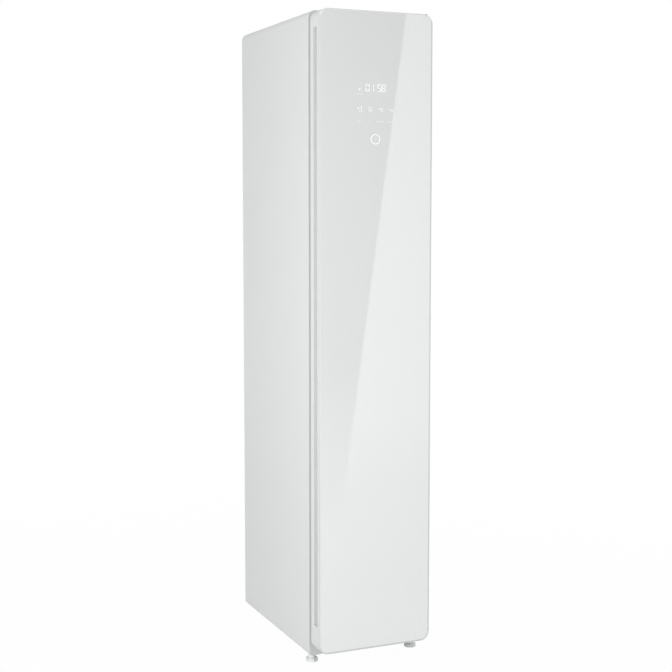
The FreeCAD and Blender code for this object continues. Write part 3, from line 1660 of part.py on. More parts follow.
def water_pipes():
    """Pipes from the tank well to the pump, and from the pump to the steam generator."""
    x, y = pump_place()
    middle = pan_floor + size.pump_height / 2
    well_underside = well_floor - size.liner_wall
    supply_y = well_back - size.pump_radius * 2
    high = middle + size.pump_height / 4
    supply = pipe(
        "supply_pipe",
        [(x, supply_y, well_underside), (x, supply_y, high), (x, y - size.pump_radius, high)],
        size.pipe_radius,
    )
    front = boiler_spans()[1][0]
    feed = pipe("feed_pipe", [(x, y + size.pump_radius, middle), (x, front, middle)], size.pipe_radius)
    keep("water_pipes", grouped("water_pipes", supply, feed))


def refrigerant_pipes():
    """Copper pipes from the compressor's top, beside the coils, to an end of each coil."""
    x, y = compressor_place()
    top = compressor_base() + size.compressor_plate + size.compressor_height
    lane = x + size.compressor_radius / 4
    step = size.coil_height / int(size.coil_tube_rows.value)
    low_tube = floor_underside - size.coil_height + step / 2
    high_tube = floor_underside - step / 2
    evaporator, condenser = coil_fronts()
    pipes = []
    for start_y, coil_front, height in (
        (y - size.pipe_radius * 2, condenser, low_tube),
        (y + size.pipe_radius * 2, evaporator, high_tube),
    ):
        coil_y = coil_front + size.coil_depth / 2
        points = [
            (lane, start_y, top),
            (lane, start_y, height),
            (lane, coil_y, height),
            (coil_half(), coil_y, height),
        ]
        pipes.append(pipe("refrigerant_pipe", points, size.pipe_radius))
    keep("refrigerant_pipes", grouped("refrigerant_pipes", *pipes))


# ---- The whole cabinet -----------------------------------------------------------------------------

MAKERS = (
    outer_wrap,
    front_frame,
    base_pan,
    rear_panel,
    rear_screws,
    hinge_screws,
    power_inlet,
    feet,
    door_glass,
    door_frame,
    door_grip,
    door_inner_panel,
    door_gasket,
    door_core,
    display_board,
    door_magnets,
    strike_plates,
    hinges,
    chamber_liner,
    base_moulding,
    insulation_boards,
    chamber_lamp,
    garment_shelf,
    air_outlet_grille,
    tanks,
    lint_filter,
    top_tray,
    guide_rods,
    hanger_carriage,
    hanger_bar,
    crank_disc,
    drive_motor,
    control_board,
    rear_duct,
    fan_housing,
    fan_wheel,
    fan_motor,
    coils,
    compressor,
    compressor_mounts,
    steam_generator,
    steam_hose,
    steam_nozzle,
    feed_pump,
    water_pipes,
    refrigerant_pipes,
)


def check(label, item):
    """Stop if a sub-part or its features failed."""
    shape = item.Shape
    if shape.isNull() or not shape.isValid() or not shape.Solids:
        raise RuntimeError(f"{label}: its shape is missing or not valid")


def main():
    """Make every sub-part, check the document and write the STEP files."""
    for make in MAKERS:
        make()
    doc.recompute()
    failed = [item.Label for item in doc.Objects if {"Invalid", "Error"} & set(item.State)]
    if failed:
        raise RuntimeError(f"failed objects: {failed}")
    if len(pieces) > STEP_LIMIT:
        raise RuntimeError(f"{len(pieces)} sub-parts are more than {STEP_LIMIT}")
    for label, item in pieces.items():
        check(label, item)
    os.makedirs("parts", exist_ok=True)
    for label, item in pieces.items():
        item.Shape.exportStep(f"parts/{label}.step")
    print(len(pieces), "sub-parts")


main()
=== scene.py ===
"""Dresses the clothes care steam cabinet: its finishes, display, seal, screws, lint net and studio."""

import math

import bmesh
import bpy
from mathutils import Euler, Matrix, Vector


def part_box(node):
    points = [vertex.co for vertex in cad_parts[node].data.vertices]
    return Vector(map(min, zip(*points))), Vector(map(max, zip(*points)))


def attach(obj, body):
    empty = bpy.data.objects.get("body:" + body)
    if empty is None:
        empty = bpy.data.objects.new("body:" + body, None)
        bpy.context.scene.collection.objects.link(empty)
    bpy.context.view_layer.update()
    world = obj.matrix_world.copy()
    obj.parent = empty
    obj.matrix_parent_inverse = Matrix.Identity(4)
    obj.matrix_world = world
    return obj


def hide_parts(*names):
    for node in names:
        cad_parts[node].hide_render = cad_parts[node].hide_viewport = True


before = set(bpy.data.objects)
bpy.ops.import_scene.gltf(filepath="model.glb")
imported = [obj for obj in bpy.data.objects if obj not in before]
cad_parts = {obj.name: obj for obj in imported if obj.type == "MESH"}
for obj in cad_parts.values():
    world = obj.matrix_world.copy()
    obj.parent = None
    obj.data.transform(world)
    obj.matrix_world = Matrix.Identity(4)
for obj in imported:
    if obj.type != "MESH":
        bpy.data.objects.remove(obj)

bl_info = {
    "name": "Steam cabinet dressing",
    "version": (1, 0, 0),
    "blender": (4, 5, 0),
    "location": "3D View > Sidebar > Steam cabinet",
    "description": "Finishes the clothes care steam cabinet and sets up its studio",
    "category": "Object",
}

MM = 0.001
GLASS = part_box("door_glass")
GLASS_FRONT = GLASS[0].y


# ---- Values that a user may change -----------------------------------------------------------------


def linear(code):
    """The linear colour, with alpha, of an sRGB hex code."""
    shares = [int(code[start : start + 2], 16) / 255 for start in (1, 3, 5)]
    return [s / 12.92 if s <= 0.04045 else ((s + 0.055) / 1.055) ** 2.4 for s in shares] + [1.0]


def number(name, description, value, unit="NONE"):
    """A number that the user sees in its kind of unit."""
    return bpy.props.FloatProperty(name=name, description=description, default=value, precision=5, unit=unit)


def length(name, description, millimetres):
    """A length that the user sees in the scene's unit."""
    return number(name, description, millimetres * MM, "LENGTH")


def hue(name, description, code):
    """A colour given as an sRGB hex code."""
    return bpy.props.FloatVectorProperty(
        name=name, description=description, default=linear(code), size=4, min=0, max=1, subtype="COLOR"
    )


class CabinetColours(bpy.types.PropertyGroup):
    """Colour of every finish."""

    enamel: hue("Enamel", "Baked enamel of the casing", "#D9DBDB")
    glass: hue("Glass", "Paint behind the front glass", "#E3E4E4")
    # Grey of the glass's rim: painted shade on the base and sides, where the rim faces away from the key lamp
    glass_rim: hue("Glass rim", "Rim of the front glass", "#C6CAC9")
    moulding: hue("Moulding", "White moulded parts", "#D8DAD9")
    # The front frame is greyed below the white moulding as painted shade, so the gap round the door looks
    # darker
    front_frame: hue("Front frame", "Moulded frame behind the door", "#D0D2D1")
    grip: hue("Grip", "Grip channel", "#DADCDC")
    seal: hue("Seal", "Door seal", "#A6A8A8")
    rubber: hue("Rubber", "Mounts and hose", "#1C1C1D")
    kraft: hue("Kraft", "Honeycomb board in the door", "#B8976A")
    felt: hue("Felt", "Insulation felt", "#B3B2AC")
    solder_mask: hue("Solder mask", "Circuit boards", "#0F4A2C")
    nickel: hue("Nickel", "Plated magnets", "#B9B7B2")
    zinc: hue("Zinc", "Galvanised sheet", "#B4B8BB")
    bright_steel: hue("Bright steel", "Polished steel", "#C8CACC")
    drawn_steel: hue("Drawn steel", "Motor cans", "#9EA1A4")
    black_enamel: hue("Black enamel", "Compressor shell", "#131314")
    aluminium: hue("Aluminium", "Coil fins", "#C9CCD0")
    cast_aluminium: hue("Cast aluminium", "Boiler body", "#AEB1B4")
    copper: hue("Copper", "Refrigerant pipes", "#B87352")
    nylon: hue("Nylon", "Grey moulded machine parts", "#8E9092")
    grey_moulding: hue("Grey moulding", "Shelf, grille and filter", "#A3A5A7")
    tank: hue("Tank", "Clear water tanks", "#EDF1F3")
    lid: hue("Lid", "Tank lids, level marks and lint net", "#C9CBCD")
    black_moulding: hue("Black moulding", "Mains inlet", "#1B1B1C")
    foot: hue("Foot", "Feet", "#E6E8E7")
    lens: hue("Lens", "Opal lamp lens and lit marks", "#F3F3EE")


class CabinetDisplay(bpy.types.PropertyGroup):
    """Sizes of the display behind the front glass."""

    proud: length("Proud", "How far a lit mark stands out of the glass", 0.05)
    digit_width: length("Digit width", "Width of a clock digit between stroke centres", 10.0)
    digit_height: length("Digit height", "Height of a clock digit between stroke centres", 18.4)
    digit_pitch: length("Digit pitch", "Distance from one digit to the next", 13.2)
    digit_stroke: length("Digit stroke", "Width of a digit's strokes", 2.0)
    stroke_gap: length("Stroke gap", "Gap where two strokes of a digit meet", 0.3)
    pair_room: length("Pair room", "Extra distance between the hours and the minutes", 9.3)
    clock_middle: length("Clock middle", "Middle of the clock across the door", -3.8)
    clock_height: length("Clock height", "Middle of the clock above the floor", 1636.6)
    icon_size: length("Icon size", "Width of a programme mark", 14.0)
    icon_pitch: length("Icon pitch", "Distance from one programme mark to the next", 32.6)
    icon_first: length("First icon", "Middle of the first programme mark across the door", -52.4)
    icon_height: length("Icon height", "Middle of the programme marks above the floor", 1577.0)
    icon_stroke: length("Icon stroke", "Width of the programme marks' lines", 1.5)
    label_height: length("Label height", "Height of the dashes under the marks", 1545.0)
    label_stroke: length("Label stroke", "Width of the dashes under the marks", 1.0)
    ring_radius: length("Ring radius", "Radius of the touch ring", 13.2)
    ring_middle: length("Ring middle", "Middle of the touch ring across the door", -4.0)
    ring_height: length("Ring height", "Middle of the touch ring above the floor", 1496.0)
    ring_stroke: length("Ring stroke", "Width of the touch ring's line", 1.8)
    bar_width: length("Bar width", "Width of the bar under the status dot", 21.0)
    dot_size: length("Dot size", "Diameter of the status dot", 5.0)
    clock: bpy.props.StringProperty(
        name="Clock", description="Figures that the clock shows", default="0158"
    )


class CabinetFittings(bpy.types.PropertyGroup):
    """Sizes of the seal, the screws, the lint net and the tank marks."""

    seal_groove: length("Seal groove", "Depth of the groove along the door seal", 2.2)
    seal_corner: length("Seal corner", "Corner radius of the seal's middle line", 21.0)
    recess_width: length("Recess width", "Width of one bar of a screw's cross recess", 1.3)
    recess_depth: length("Recess depth", "Depth of a screw's cross recess", 1.4)
    net_pitch: length("Net pitch", "Distance between the threads of the lint net", 2.5)
    net_thread: length("Net thread", "Thickness of a thread of the lint net", 0.5)
    net_rim: length("Net rim", "Basket's rim that the lint net leaves free", 9.0)
    net_lift: length("Net lift", "Height of the lint net above the basket's underside", 2.6)
    mark_pitch: length("Mark pitch", "Distance between the level marks of a tank", 20.0)
    mark_stroke: length("Mark stroke", "Width of a level mark", 1.6)


class CabinetStage(bpy.types.PropertyGroup):
    """Camera, lamps and floor."""

    camera_x: length("Camera X", "Camera across the cabinet", -1552.1)
    camera_y: length("Camera Y", "Camera in front of the cabinet", -3598.6)
    camera_z: length("Camera Z", "Camera above the floor", 1304.3)
    camera_turn: number("Turn", "Camera's turn to the right", math.radians(23.4975), "ROTATION")
    camera_tilt: number("Tilt", "Camera's tilt down", math.radians(5.0245), "ROTATION")
    camera_shift: number("Shift", "Share of the frame that the view is shifted down", 0.02)
    camera_lens: number("Lens", "Focal length on a 36 mm sensor", 69.453, "CAMERA")
    fill: number("Fill", "Brightness of the room as it lights the cabinet", 0.575)
    key_power: number("Key lamp", "Power of the soft lamp at the front left", 57.0, "POWER")
    front_power: number("Front lamp", "Power of the soft lamp at the front right", 13.0, "POWER")
    rear_power: number("Rear lamp", "Power of the soft lamp at the rear right", 45.0, "POWER")
    paper: hue("Floor", "Paper floor", "#D8D8D8")
    floor_share: number("Floor glow", "Share of plain white in the floor near the cabinet", 0.98)
    floor_dip: number("Floor dip", "Share of its white that the floor loses in reflections", 0.17)


# ---- Nodes and materials ---------------------------------------------------------------------------


def add(tree, kind, sockets=None, **settings):
    """Adds a node. Settings go on the node itself; each socket gets a value or the output that feeds it."""
    made = tree.nodes.new(kind)
    for name, value in settings.items():
        setattr(made, name, value)
    for key, value in (sockets or {}).items():
        if isinstance(value, bpy.types.NodeSocket):
            tree.links.new(value, made.inputs[key])
        else:
            made.inputs[key].default_value = value
    return made


def begin(name, colour, roughness, sockets=None):
    """A new material with its node tree and its shader."""
    material = bpy.data.materials.new(name)
    material.use_nodes = True
    tree = material.node_tree
    shader = tree.nodes["Principled BSDF"]
    for key, value in {"Base Color": colour, "Roughness": roughness, **(sockets or {})}.items():
        shader.inputs[key].default_value = value
    return material, tree, shader


def grain(tree, size, detail=2.0, stretch=(1, 1, 1)):
    """Cloudy marks about size metres across, drawn out along the axes by stretch."""
    spread = add(
        tree,
        "ShaderNodeMapping",
        {"Vector": add(tree, "ShaderNodeTexCoord").outputs["Object"], "Scale": [1 / way for way in stretch]},
    )
    noise = {"Vector": spread.outputs["Vector"], "Scale": 1 / size, "Detail": detail}
    return add(tree, "ShaderNodeTexNoise", noise).outputs["Fac"]


def tint(tree, shader, pattern, darkest, lightest=1.0):
    """The base colour goes from darkest to lightest times itself with the pattern."""
    colour = list(shader.inputs["Base Color"].default_value)
    shades = [[part * share for part in colour[:3]] + [1.0] for share in (darkest, lightest)]
    mixed = add(tree, "ShaderNodeMix", {0: pattern, 6: shades[0], 7: shades[1]}, data_type="RGBA")
    tree.links.new(mixed.outputs[2], shader.inputs["Base Color"])


def dull(tree, shader, pattern, smoothest, roughest):
    """The roughness goes from smoothest to roughest with the pattern."""
    ranged = add(tree, "ShaderNodeMapRange", {"Value": pattern, "To Min": smoothest, "To Max": roughest})
    tree.links.new(ranged.outputs["Result"], shader.inputs["Roughness"])


def relief(tree, shader, pattern, height):
    """The surface rises by height metres with the pattern."""
    bump = add(tree, "ShaderNodeBump", {"Height": pattern, "Distance": height, "Strength": 1.0})
    tree.links.new(bump.outputs["Normal"], shader.inputs["Normal"])


def baked_enamel(colours):
    """Sprayed and baked enamel on steel sheet: a satin sheen with a faint orange peel 4 mm across."""
    material, tree, shader = begin("baked_enamel", colours.enamel, 0.42, {"Specular IOR Level": 0.3})
    tint(tree, shader, grain(tree, 180 * MM), 0.975, 1.01)
    relief(tree, shader, grain(tree, 4 * MM, 1.0), 0.012 * MM)
    return material


def glass_rim(tree):
    """1 in a band of painted shade along the glass's base and sides, half as wide on the lit left side, and 0
    elsewhere.
    """
    corner, band, blur = 28 * MM, 6 * MM, 1 * MM
    (left, _, bottom), (right, _, top) = GLASS
    # The outline is moved out on the left, to halve the painted shade there, and at the top, to leave none
    left, top = left - band / 2, top + corner
    middle = ((left + right) / 2, 0.0, (bottom + top) / 2)
    # Half the sides of the rectangle whose corners the outline is rounded about. The depth plays no part
    inner = ((right - left) / 2 - corner, 1.0, (top - bottom) / 2 - corner)
    # How far a point lies outside that rectangle
    where = add(tree, "ShaderNodeTexCoord").outputs["Object"]
    away = add(tree, "ShaderNodeVectorMath", {0: where, 1: middle}, operation="SUBTRACT").outputs["Vector"]
    away = add(tree, "ShaderNodeVectorMath", {0: away}, operation="ABSOLUTE").outputs["Vector"]
    away = add(tree, "ShaderNodeVectorMath", {0: away, 1: inner}, operation="SUBTRACT").outputs["Vector"]
    away = add(tree, "ShaderNodeVectorMath", {0: away, 1: (0, 0, 0)}, operation="MAXIMUM").outputs["Vector"]
    away = add(tree, "ShaderNodeVectorMath", {0: away}, operation="LENGTH").outputs["Value"]
    start = corner - band - blur / 2
    span = {"Value": away, "From Min": start, "From Max": start + blur}
    return add(tree, "ShaderNodeMapRange", span).outputs["Result"]


def back_painted_glass(colours):
    """Float glass painted on its back: glass and paint both reflect. The rim at base and sides has painted
    shade.
    """
    gloss = {"IOR": 1.6, "Coat Weight": 1.0, "Coat Roughness": 0.012, "Coat IOR": 1.6}
    material, tree, shader = begin("back_painted_glass", colours.glass, 0.03, gloss)
    tint(tree, shader, grain(tree, 350 * MM, 1.0), 0.985, 1.0)
    paint = shader.inputs["Base Color"].links[0].from_socket
    # The rim's grey is painted shade, mixed over the paint inside the band
    shades = {0: glass_rim(tree), 6: paint, 7: colours.glass_rim}
    mixed = add(tree, "ShaderNodeMix", shades, data_type="RGBA")
    tree.links.new(mixed.outputs[2], shader.inputs["Base Color"])
    relief(tree, shader, grain(tree, 120 * MM, 0.0), 0.006 * MM)
    return material


def white_moulding(colours):
    """Injection-moulded white ABS, spark-eroded tool: matt with a fine even grain of about 1 mm."""
    material, tree, shader = begin("white_moulding", colours.moulding, 0.46)
    tint(tree, shader, grain(tree, 90 * MM), 0.97, 1.01)
    dull(tree, shader, grain(tree, 25 * MM), 0.42, 0.52)
    relief(tree, shader, grain(tree, 1 * MM, 3.0), 0.02 * MM)
    return material


def frame_moulding(colours):
    """Injection-moulded ABS, spark-eroded tool: matt. It is painted a shade greyer than the door, as shade
    for the gap round the door.
    """
    material, tree, shader = begin("frame_moulding", colours.front_frame, 0.48)
    tint(tree, shader, grain(tree, 90 * MM), 0.97, 1.01)
    relief(tree, shader, grain(tree, 1 * MM, 3.0), 0.02 * MM)
    return material


def grip_moulding(colours):
    """ABS grip channel: the same moulding, rubbed a little smoother by hands."""
    material, tree, shader = begin("grip_moulding", colours.grip, 0.4)
    tint(tree, shader, grain(tree, 60 * MM), 0.97, 1.01)
    dull(tree, shader, grain(tree, 60 * MM), 0.34, 0.46)
    relief(tree, shader, grain(tree, 1 * MM, 3.0), 0.015 * MM)
    return material


def soft_seal(colours):
    """Extruded thermoplastic elastomer: matt, with fine draw lines along it."""
    material, tree, shader = begin("soft_seal", colours.seal, 0.7, {"Sheen Weight": 0.15})
    tint(tree, shader, grain(tree, 12 * MM, 3.0), 0.92, 1.0)
    relief(tree, shader, grain(tree, 1.2 * MM, 2.0, (1, 0.3, 1)), 0.04 * MM)
    return material


def black_rubber(colours):
    """Moulded EPDM rubber: dull black with a dusty bloom."""
    material, tree, shader = begin("black_rubber", colours.rubber, 0.72)
    tint(tree, shader, grain(tree, 9 * MM, 4.0), 0.8, 1.5)
    relief(tree, shader, grain(tree, 1.5 * MM), 0.03 * MM)
    return material


def kraft_board(colours):
    """Kraft paper over a honeycomb core: the 12 mm cells print through as a fine net."""
    material, tree, shader = begin("kraft_board", colours.kraft, 0.85)
    where = add(tree, "ShaderNodeTexCoord").outputs["Object"]
    cells = add(tree, "ShaderNodeTexVoronoi", {"Vector": where, "Scale": 1 / (12 * MM), "Randomness": 0.15})
    relief(tree, shader, cells.outputs["Distance"], 0.4 * MM)
    tint(tree, shader, grain(tree, 6 * MM, 5.0, (1, 1, 4)), 0.86, 1.04)
    return material


def pressed_felt(colours):
    """Needled polyester felt: short tangled fibres, no gloss."""
    material, tree, shader = begin("pressed_felt", colours.felt, 0.95, {"Sheen Weight": 0.35})
    fibres = grain(tree, 3 * MM, 6.0, (1, 1, 3))
    tint(tree, shader, fibres, 0.72, 1.08)
    relief(tree, shader, fibres, 0.9 * MM)
    return material


def solder_mask(colours):
    """Glass-epoxy board under green solder mask: copper tracks show as paler lines 4 mm apart."""
    material, tree, shader = begin("solder_mask", colours.solder_mask, 0.3, {"Coat Weight": 0.4})
    where = add(tree, "ShaderNodeTexCoord").outputs["Object"]
    # The lines of a wave texture lie 0.314 of its size apart
    size = 13 * MM
    tracks = add(tree, "ShaderNodeTexWave", {"Vector": where, "Scale": 1 / size, "Distortion": 3.0})
    tint(tree, shader, tracks.outputs["Fac"], 0.8, 1.7)
    relief(tree, shader, tracks.outputs["Fac"], 0.05 * MM)
    return material


def nickel_plate(colours):
    """Nickel plating on a sintered magnet: warm grey metal, satin, with faint barrelling marks."""
    material, tree, shader = begin("nickel_plate", colours.nickel, 0.32, {"Metallic": 1.0})
    tint(tree, shader, grain(tree, 6 * MM), 0.93, 1.03)
    dull(tree, shader, grain(tree, 3 * MM, 3.0), 0.28, 0.42)
    return material


def galvanised_sheet(colours):
    """Hot-dip galvanised steel: zinc crystals 9 mm across, each with its own grey and dullness."""
    material, tree, shader = begin("galvanised_sheet", colours.zinc, 0.4, {"Metallic": 1.0})
    where = add(tree, "ShaderNodeTexCoord").outputs["Object"]
    crystals = add(tree, "ShaderNodeTexVoronoi", {"Vector": where, "Scale": 1 / (9 * MM)})
    shade = add(tree, "ShaderNodeRGBToBW", {"Color": crystals.outputs["Color"]}).outputs["Val"]
    tint(tree, shader, shade, 0.82, 1.06)
    dull(tree, shader, shade, 0.32, 0.52)
    return material


def polished_steel(colours):
    """Ground and polished stainless steel: nearly a mirror, with fine drawn scratches."""
    material, tree, shader = begin("polished_steel", colours.bright_steel, 0.16, {"Metallic": 1.0})
    scratches = grain(tree, 0.8 * MM, 3.0, (25, 1, 1))
    dull(tree, shader, scratches, 0.1, 0.24)
    relief(tree, shader, scratches, 0.004 * MM)
    return material


def drawn_steel(colours):
    """Deep-drawn, lightly oiled steel can: streaks along the draw."""
    material, tree, shader = begin("drawn_steel", colours.drawn_steel, 0.36, {"Metallic": 1.0})
    streaks = grain(tree, 2 * MM, 3.0, (1, 1, 14))
    tint(tree, shader, streaks, 0.86, 1.05)
    dull(tree, shader, streaks, 0.28, 0.46)
    return material


def gloss_black_enamel(colours):
    """Dipped black enamel on the compressor's pressed shell: thick, glossy, slightly wavy."""
    gloss = {"Coat Weight": 1.0, "Coat Roughness": 0.06}
    material, tree, shader = begin("gloss_black_enamel", colours.black_enamel, 0.3, gloss)
    tint(tree, shader, grain(tree, 20 * MM, 3.0), 0.8, 1.3)
    relief(tree, shader, grain(tree, 14 * MM, 1.0), 0.06 * MM)
    return material


def fin_aluminium(colours):
    """Stamped aluminium foil fins: bright, with drawing lines and a few dull spots."""
    material, tree, shader = begin("fin_aluminium", colours.aluminium, 0.32, {"Metallic": 1.0})
    tint(tree, shader, grain(tree, 6 * MM, 3.0), 0.88, 1.0)
    dull(tree, shader, grain(tree, 2 * MM, 2.0, (1, 1, 8)), 0.24, 0.42)
    return material


def cast_aluminium(colours):
    """Die-cast aluminium: dull grey skin with flow marks and fine pits."""
    material, tree, shader = begin("cast_aluminium", colours.cast_aluminium, 0.52, {"Metallic": 1.0})
    tint(tree, shader, grain(tree, 15 * MM, 4.0), 0.85, 1.03)
    relief(tree, shader, grain(tree, 1.2 * MM, 4.0), 0.08 * MM)
    return material


def drawn_copper(colours):
    """Drawn copper tube: warm metal, browned in clouds where it was brazed and handled."""
    material, tree, shader = begin("drawn_copper", colours.copper, 0.28, {"Metallic": 1.0})
    tint(tree, shader, grain(tree, 18 * MM, 5.0), 0.62, 1.05)
    dull(tree, shader, grain(tree, 10 * MM, 3.0), 0.2, 0.42)
    return material


def grey_nylon(colours):
    """Glass-filled nylon: mid grey, with flow streaks from the fibres."""
    material, tree, shader = begin("grey_nylon", colours.nylon, 0.52)
    streaks = grain(tree, 5 * MM, 4.0, (1, 1, 3))
    tint(tree, shader, streaks, 0.9, 1.05)
    relief(tree, shader, grain(tree, 0.9 * MM, 2.0), 0.02 * MM)
    return material


def grey_moulding(colours):
    """Grey ABS with a leather-like moulded grain of 1.5 mm."""
    material, tree, shader = begin("grey_moulding", colours.grey_moulding, 0.5)
    tint(tree, shader, grain(tree, 50 * MM), 0.95, 1.02)
    relief(tree, shader, grain(tree, 1.5 * MM, 3.0), 0.04 * MM)
    return material


def clear_tank(colours):
    """Blow-moulded SAN: water-clear with a slight frost from the mould, so light passes but shapes blur."""
    clear = {"Transmission Weight": 0.45, "IOR": 1.5}
    material, tree, shader = begin("clear_tank", colours.tank, 0.2, clear)
    dull(tree, shader, grain(tree, 30 * MM), 0.14, 0.28)
    relief(tree, shader, grain(tree, 12 * MM, 1.0), 0.05 * MM)
    return material


def lid_moulding(colours):
    """Polypropylene lid: a waxy light grey, slightly translucent."""
    glow = {"Subsurface Weight": 0.08, "Subsurface Scale": 2 * MM}
    material, tree, shader = begin("lid_moulding", colours.lid, 0.42, glow)
    tint(tree, shader, grain(tree, 40 * MM), 0.95, 1.02)
    relief(tree, shader, grain(tree, 1.2 * MM), 0.02 * MM)
    return material


def black_moulding(colours):
    """Phenolic black moulding of the mains inlet: semi-gloss, finely grained."""
    material, tree, shader = begin("black_moulding", colours.black_moulding, 0.38)
    tint(tree, shader, grain(tree, 10 * MM), 0.85, 1.3)
    relief(tree, shader, grain(tree, 0.8 * MM), 0.02 * MM)
    return material


def foot_moulding(colours):
    """Moulded plastic of the feet, off-white: matt, and faintly scuffed all over."""
    material, tree, shader = begin("foot_moulding", colours.foot, 0.5)
    scuffs = grain(tree, 4 * MM, 4.0, (3, 3, 1))
    tint(tree, shader, scuffs, 0.93, 1.02)
    dull(tree, shader, scuffs, 0.42, 0.62)
    return material


def opal_lens(colours):
    """Opal diffuser over light-emitting diodes: lit evenly, with faint brighter spots 12 mm apart."""
    material, tree, shader = begin("opal_lens", colours.lens, 0.3)
    shader.inputs["Emission Color"].default_value = colours.lens
    where = add(tree, "ShaderNodeTexCoord").outputs["Object"]
    spots = add(tree, "ShaderNodeTexVoronoi", {"Vector": where, "Scale": 1 / (12 * MM), "Randomness": 0.0})
    steps = {"Value": spots.outputs["Distance"], "From Max": 0.8, "To Min": 2.2, "To Max": 1.6}
    glow = add(tree, "ShaderNodeMapRange", steps)
    tree.links.new(glow.outputs["Result"], shader.inputs["Emission Strength"])
    return material


def lit_mark(name, colours, strength):
    """Light from a diode through an unpainted line in the glass's paint: white, softened by the glass."""
    material, tree, shader = begin(name, colours.lens, 0.1)
    shader.inputs["Emission Color"].default_value = linear("#FFFFFF")
    flicker = {"Value": grain(tree, 6 * MM), "To Min": strength * 0.94, "To Max": strength * 1.06}
    glow = add(tree, "ShaderNodeMapRange", flicker)
    tree.links.new(glow.outputs["Result"], shader.inputs["Emission Strength"])
    return material


def bright_mark(colours):
    """A lit clock figure."""
    return lit_mark("bright_mark", colours, 0.28)


def dim_mark(colours):
    """A programme mark that waits for a touch."""
    return lit_mark("dim_mark", colours, 0.12)


def lint_thread(colours):
    """Woven polyester thread of the lint net: pale grey, slightly shiny."""
    material, tree, shader = begin("lint_thread", colours.lid, 0.45, {"Sheen Weight": 0.2})
    tint(tree, shader, grain(tree, 2 * MM), 0.85, 1.0)
    return material


def finish(maker):
    """The material that the maker makes, made only once."""
    return bpy.data.materials.get(maker.__name__) or maker(bpy.context.scene.cabinet_colours)


def dress(maker, *names):
    """Gives CAD nodes their material."""
    for name in names:
        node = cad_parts[name]
        node.data.materials.clear()
        node.data.materials.append(finish(maker))


# ---- Meshes ----------------------------------------------------------------------------------------


def keep(name, mesh, maker, body):
    """Makes a mesh a finished piece of the cabinet that rides on a body."""
    piece = bpy.data.objects.new(name, mesh)
    bpy.context.scene.collection.objects.link(piece)
    mesh.materials.clear()
    mesh.materials.append(finish(maker))
    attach(piece, body)
    return piece


def solids(name):
    """The lowest and highest corner of every separate solid of a CAD node."""
    joined = bmesh.new()
    joined.from_mesh(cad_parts[name].data)
    bmesh.ops.remove_doubles(joined, verts=joined.verts, dist=0.001 * MM)
    waiting, found = set(joined.verts), []
    while waiting:
        group, edge = [], [waiting.pop()]
        while edge:
            point = edge.pop()
            group.append(point.co.copy())
            beside = {line.other_vert(point) for line in point.link_edges} & waiting
            waiting -= beside
            edge.extend(beside)
        found.append([Vector(pick(co[axis] for co in group) for axis in range(3)) for pick in (min, max)])
    joined.free()
    return sorted(found, key=lambda box: tuple(round(part, 4) for part in box[0]))


def strokes(name, lines, width, face, proud):
    """A mesh of flat, round-ended lines on a wall that faces -Y. A line is its points and if it closes."""
    curve = bpy.data.curves.new(name, "CURVE")
    curve.dimensions = "3D"
    curve.bevel_depth = width / 2
    curve.bevel_resolution = 2
    curve.use_fill_caps = True
    for points, closes in lines:
        spline = curve.splines.new("POLY")
        spline.points.add(len(points) - 1)
        for place, (x, z) in zip(spline.points, points):
            place.co = (x, face, z, 1.0)
        spline.use_cyclic_u = closes
    drawn = bpy.data.objects.new(name, curve)
    bpy.context.scene.collection.objects.link(drawn)
    mesh = bpy.data.meshes.new_from_object(drawn.evaluated_get(bpy.context.evaluated_depsgraph_get()))
    bpy.data.objects.remove(drawn)
    bpy.data.curves.remove(curve)
    for vertex in mesh.vertices:
        vertex.co.y = face + (vertex.co.y - face) * proud / (width / 2)
    return mesh


def light(name, lines, width, maker):
    """Lines of light on the glass's front, as a piece that rides on the door."""
    mesh = strokes(name, lines, width, GLASS_FRONT, bpy.context.scene.cabinet_display.proud)
    keep(name, mesh, maker, "door")


def arc(middle, radius, start=0.0, end=360.0, steps=48):
    """Points along an arc about middle, from start to end degrees."""
    turns = [math.radians(start + (end - start) * step / steps) for step in range(steps + 1)]
    return [(middle[0] + radius * math.cos(turn), middle[1] + radius * math.sin(turn)) for turn in turns]


def grown(name, tree, base, values):
    """The plain mesh that a geometry tree grows on a base mesh, with the tree's named inputs set."""
    seed = bpy.data.objects.new(name, base)
    bpy.context.scene.collection.objects.link(seed)
    modifier = seed.modifiers.new(name, "NODES")
    modifier.node_group = tree
    for item in tree.interface.items_tree:
        if item.in_out == "INPUT" and item.name in values:
            modifier[item.identifier] = values[item.name]
    bpy.context.view_layer.update()
    mesh = bpy.data.meshes.new_from_object(seed.evaluated_get(bpy.context.evaluated_depsgraph_get()))
    seed.modifiers.clear()
    bpy.data.objects.remove(seed)
    return mesh


def geometry_tree(name, inputs):
    """A geometry tree with its named inputs. Returns the tree, its input node and its output node."""
    tree = bpy.data.node_groups.new(name, "GeometryNodeTree")
    tree.interface.new_socket("Geometry", in_out="INPUT", socket_type="NodeSocketGeometry")
    for label, kind in inputs:
        tree.interface.new_socket(label, in_out="INPUT", socket_type="NodeSocket" + kind)
    tree.interface.new_socket("Geometry", in_out="OUTPUT", socket_type="NodeSocketGeometry")
    return tree, add(tree, "NodeGroupInput").outputs, add(tree, "NodeGroupOutput")


def finish_tree(tree, geometry, given, result):
    """Ends a geometry tree: instances become real, and get the material."""
    real = add(tree, "GeometryNodeRealizeInstances", {"Geometry": geometry})
    painted = {"Geometry": real.outputs["Geometry"], "Material": given["Material"]}
    ready = add(tree, "GeometryNodeSetMaterial", painted)
    tree.links.new(ready.outputs["Geometry"], result.inputs["Geometry"])


# ---- Operators: one for each piece or group of like pieces -----------------------------------------


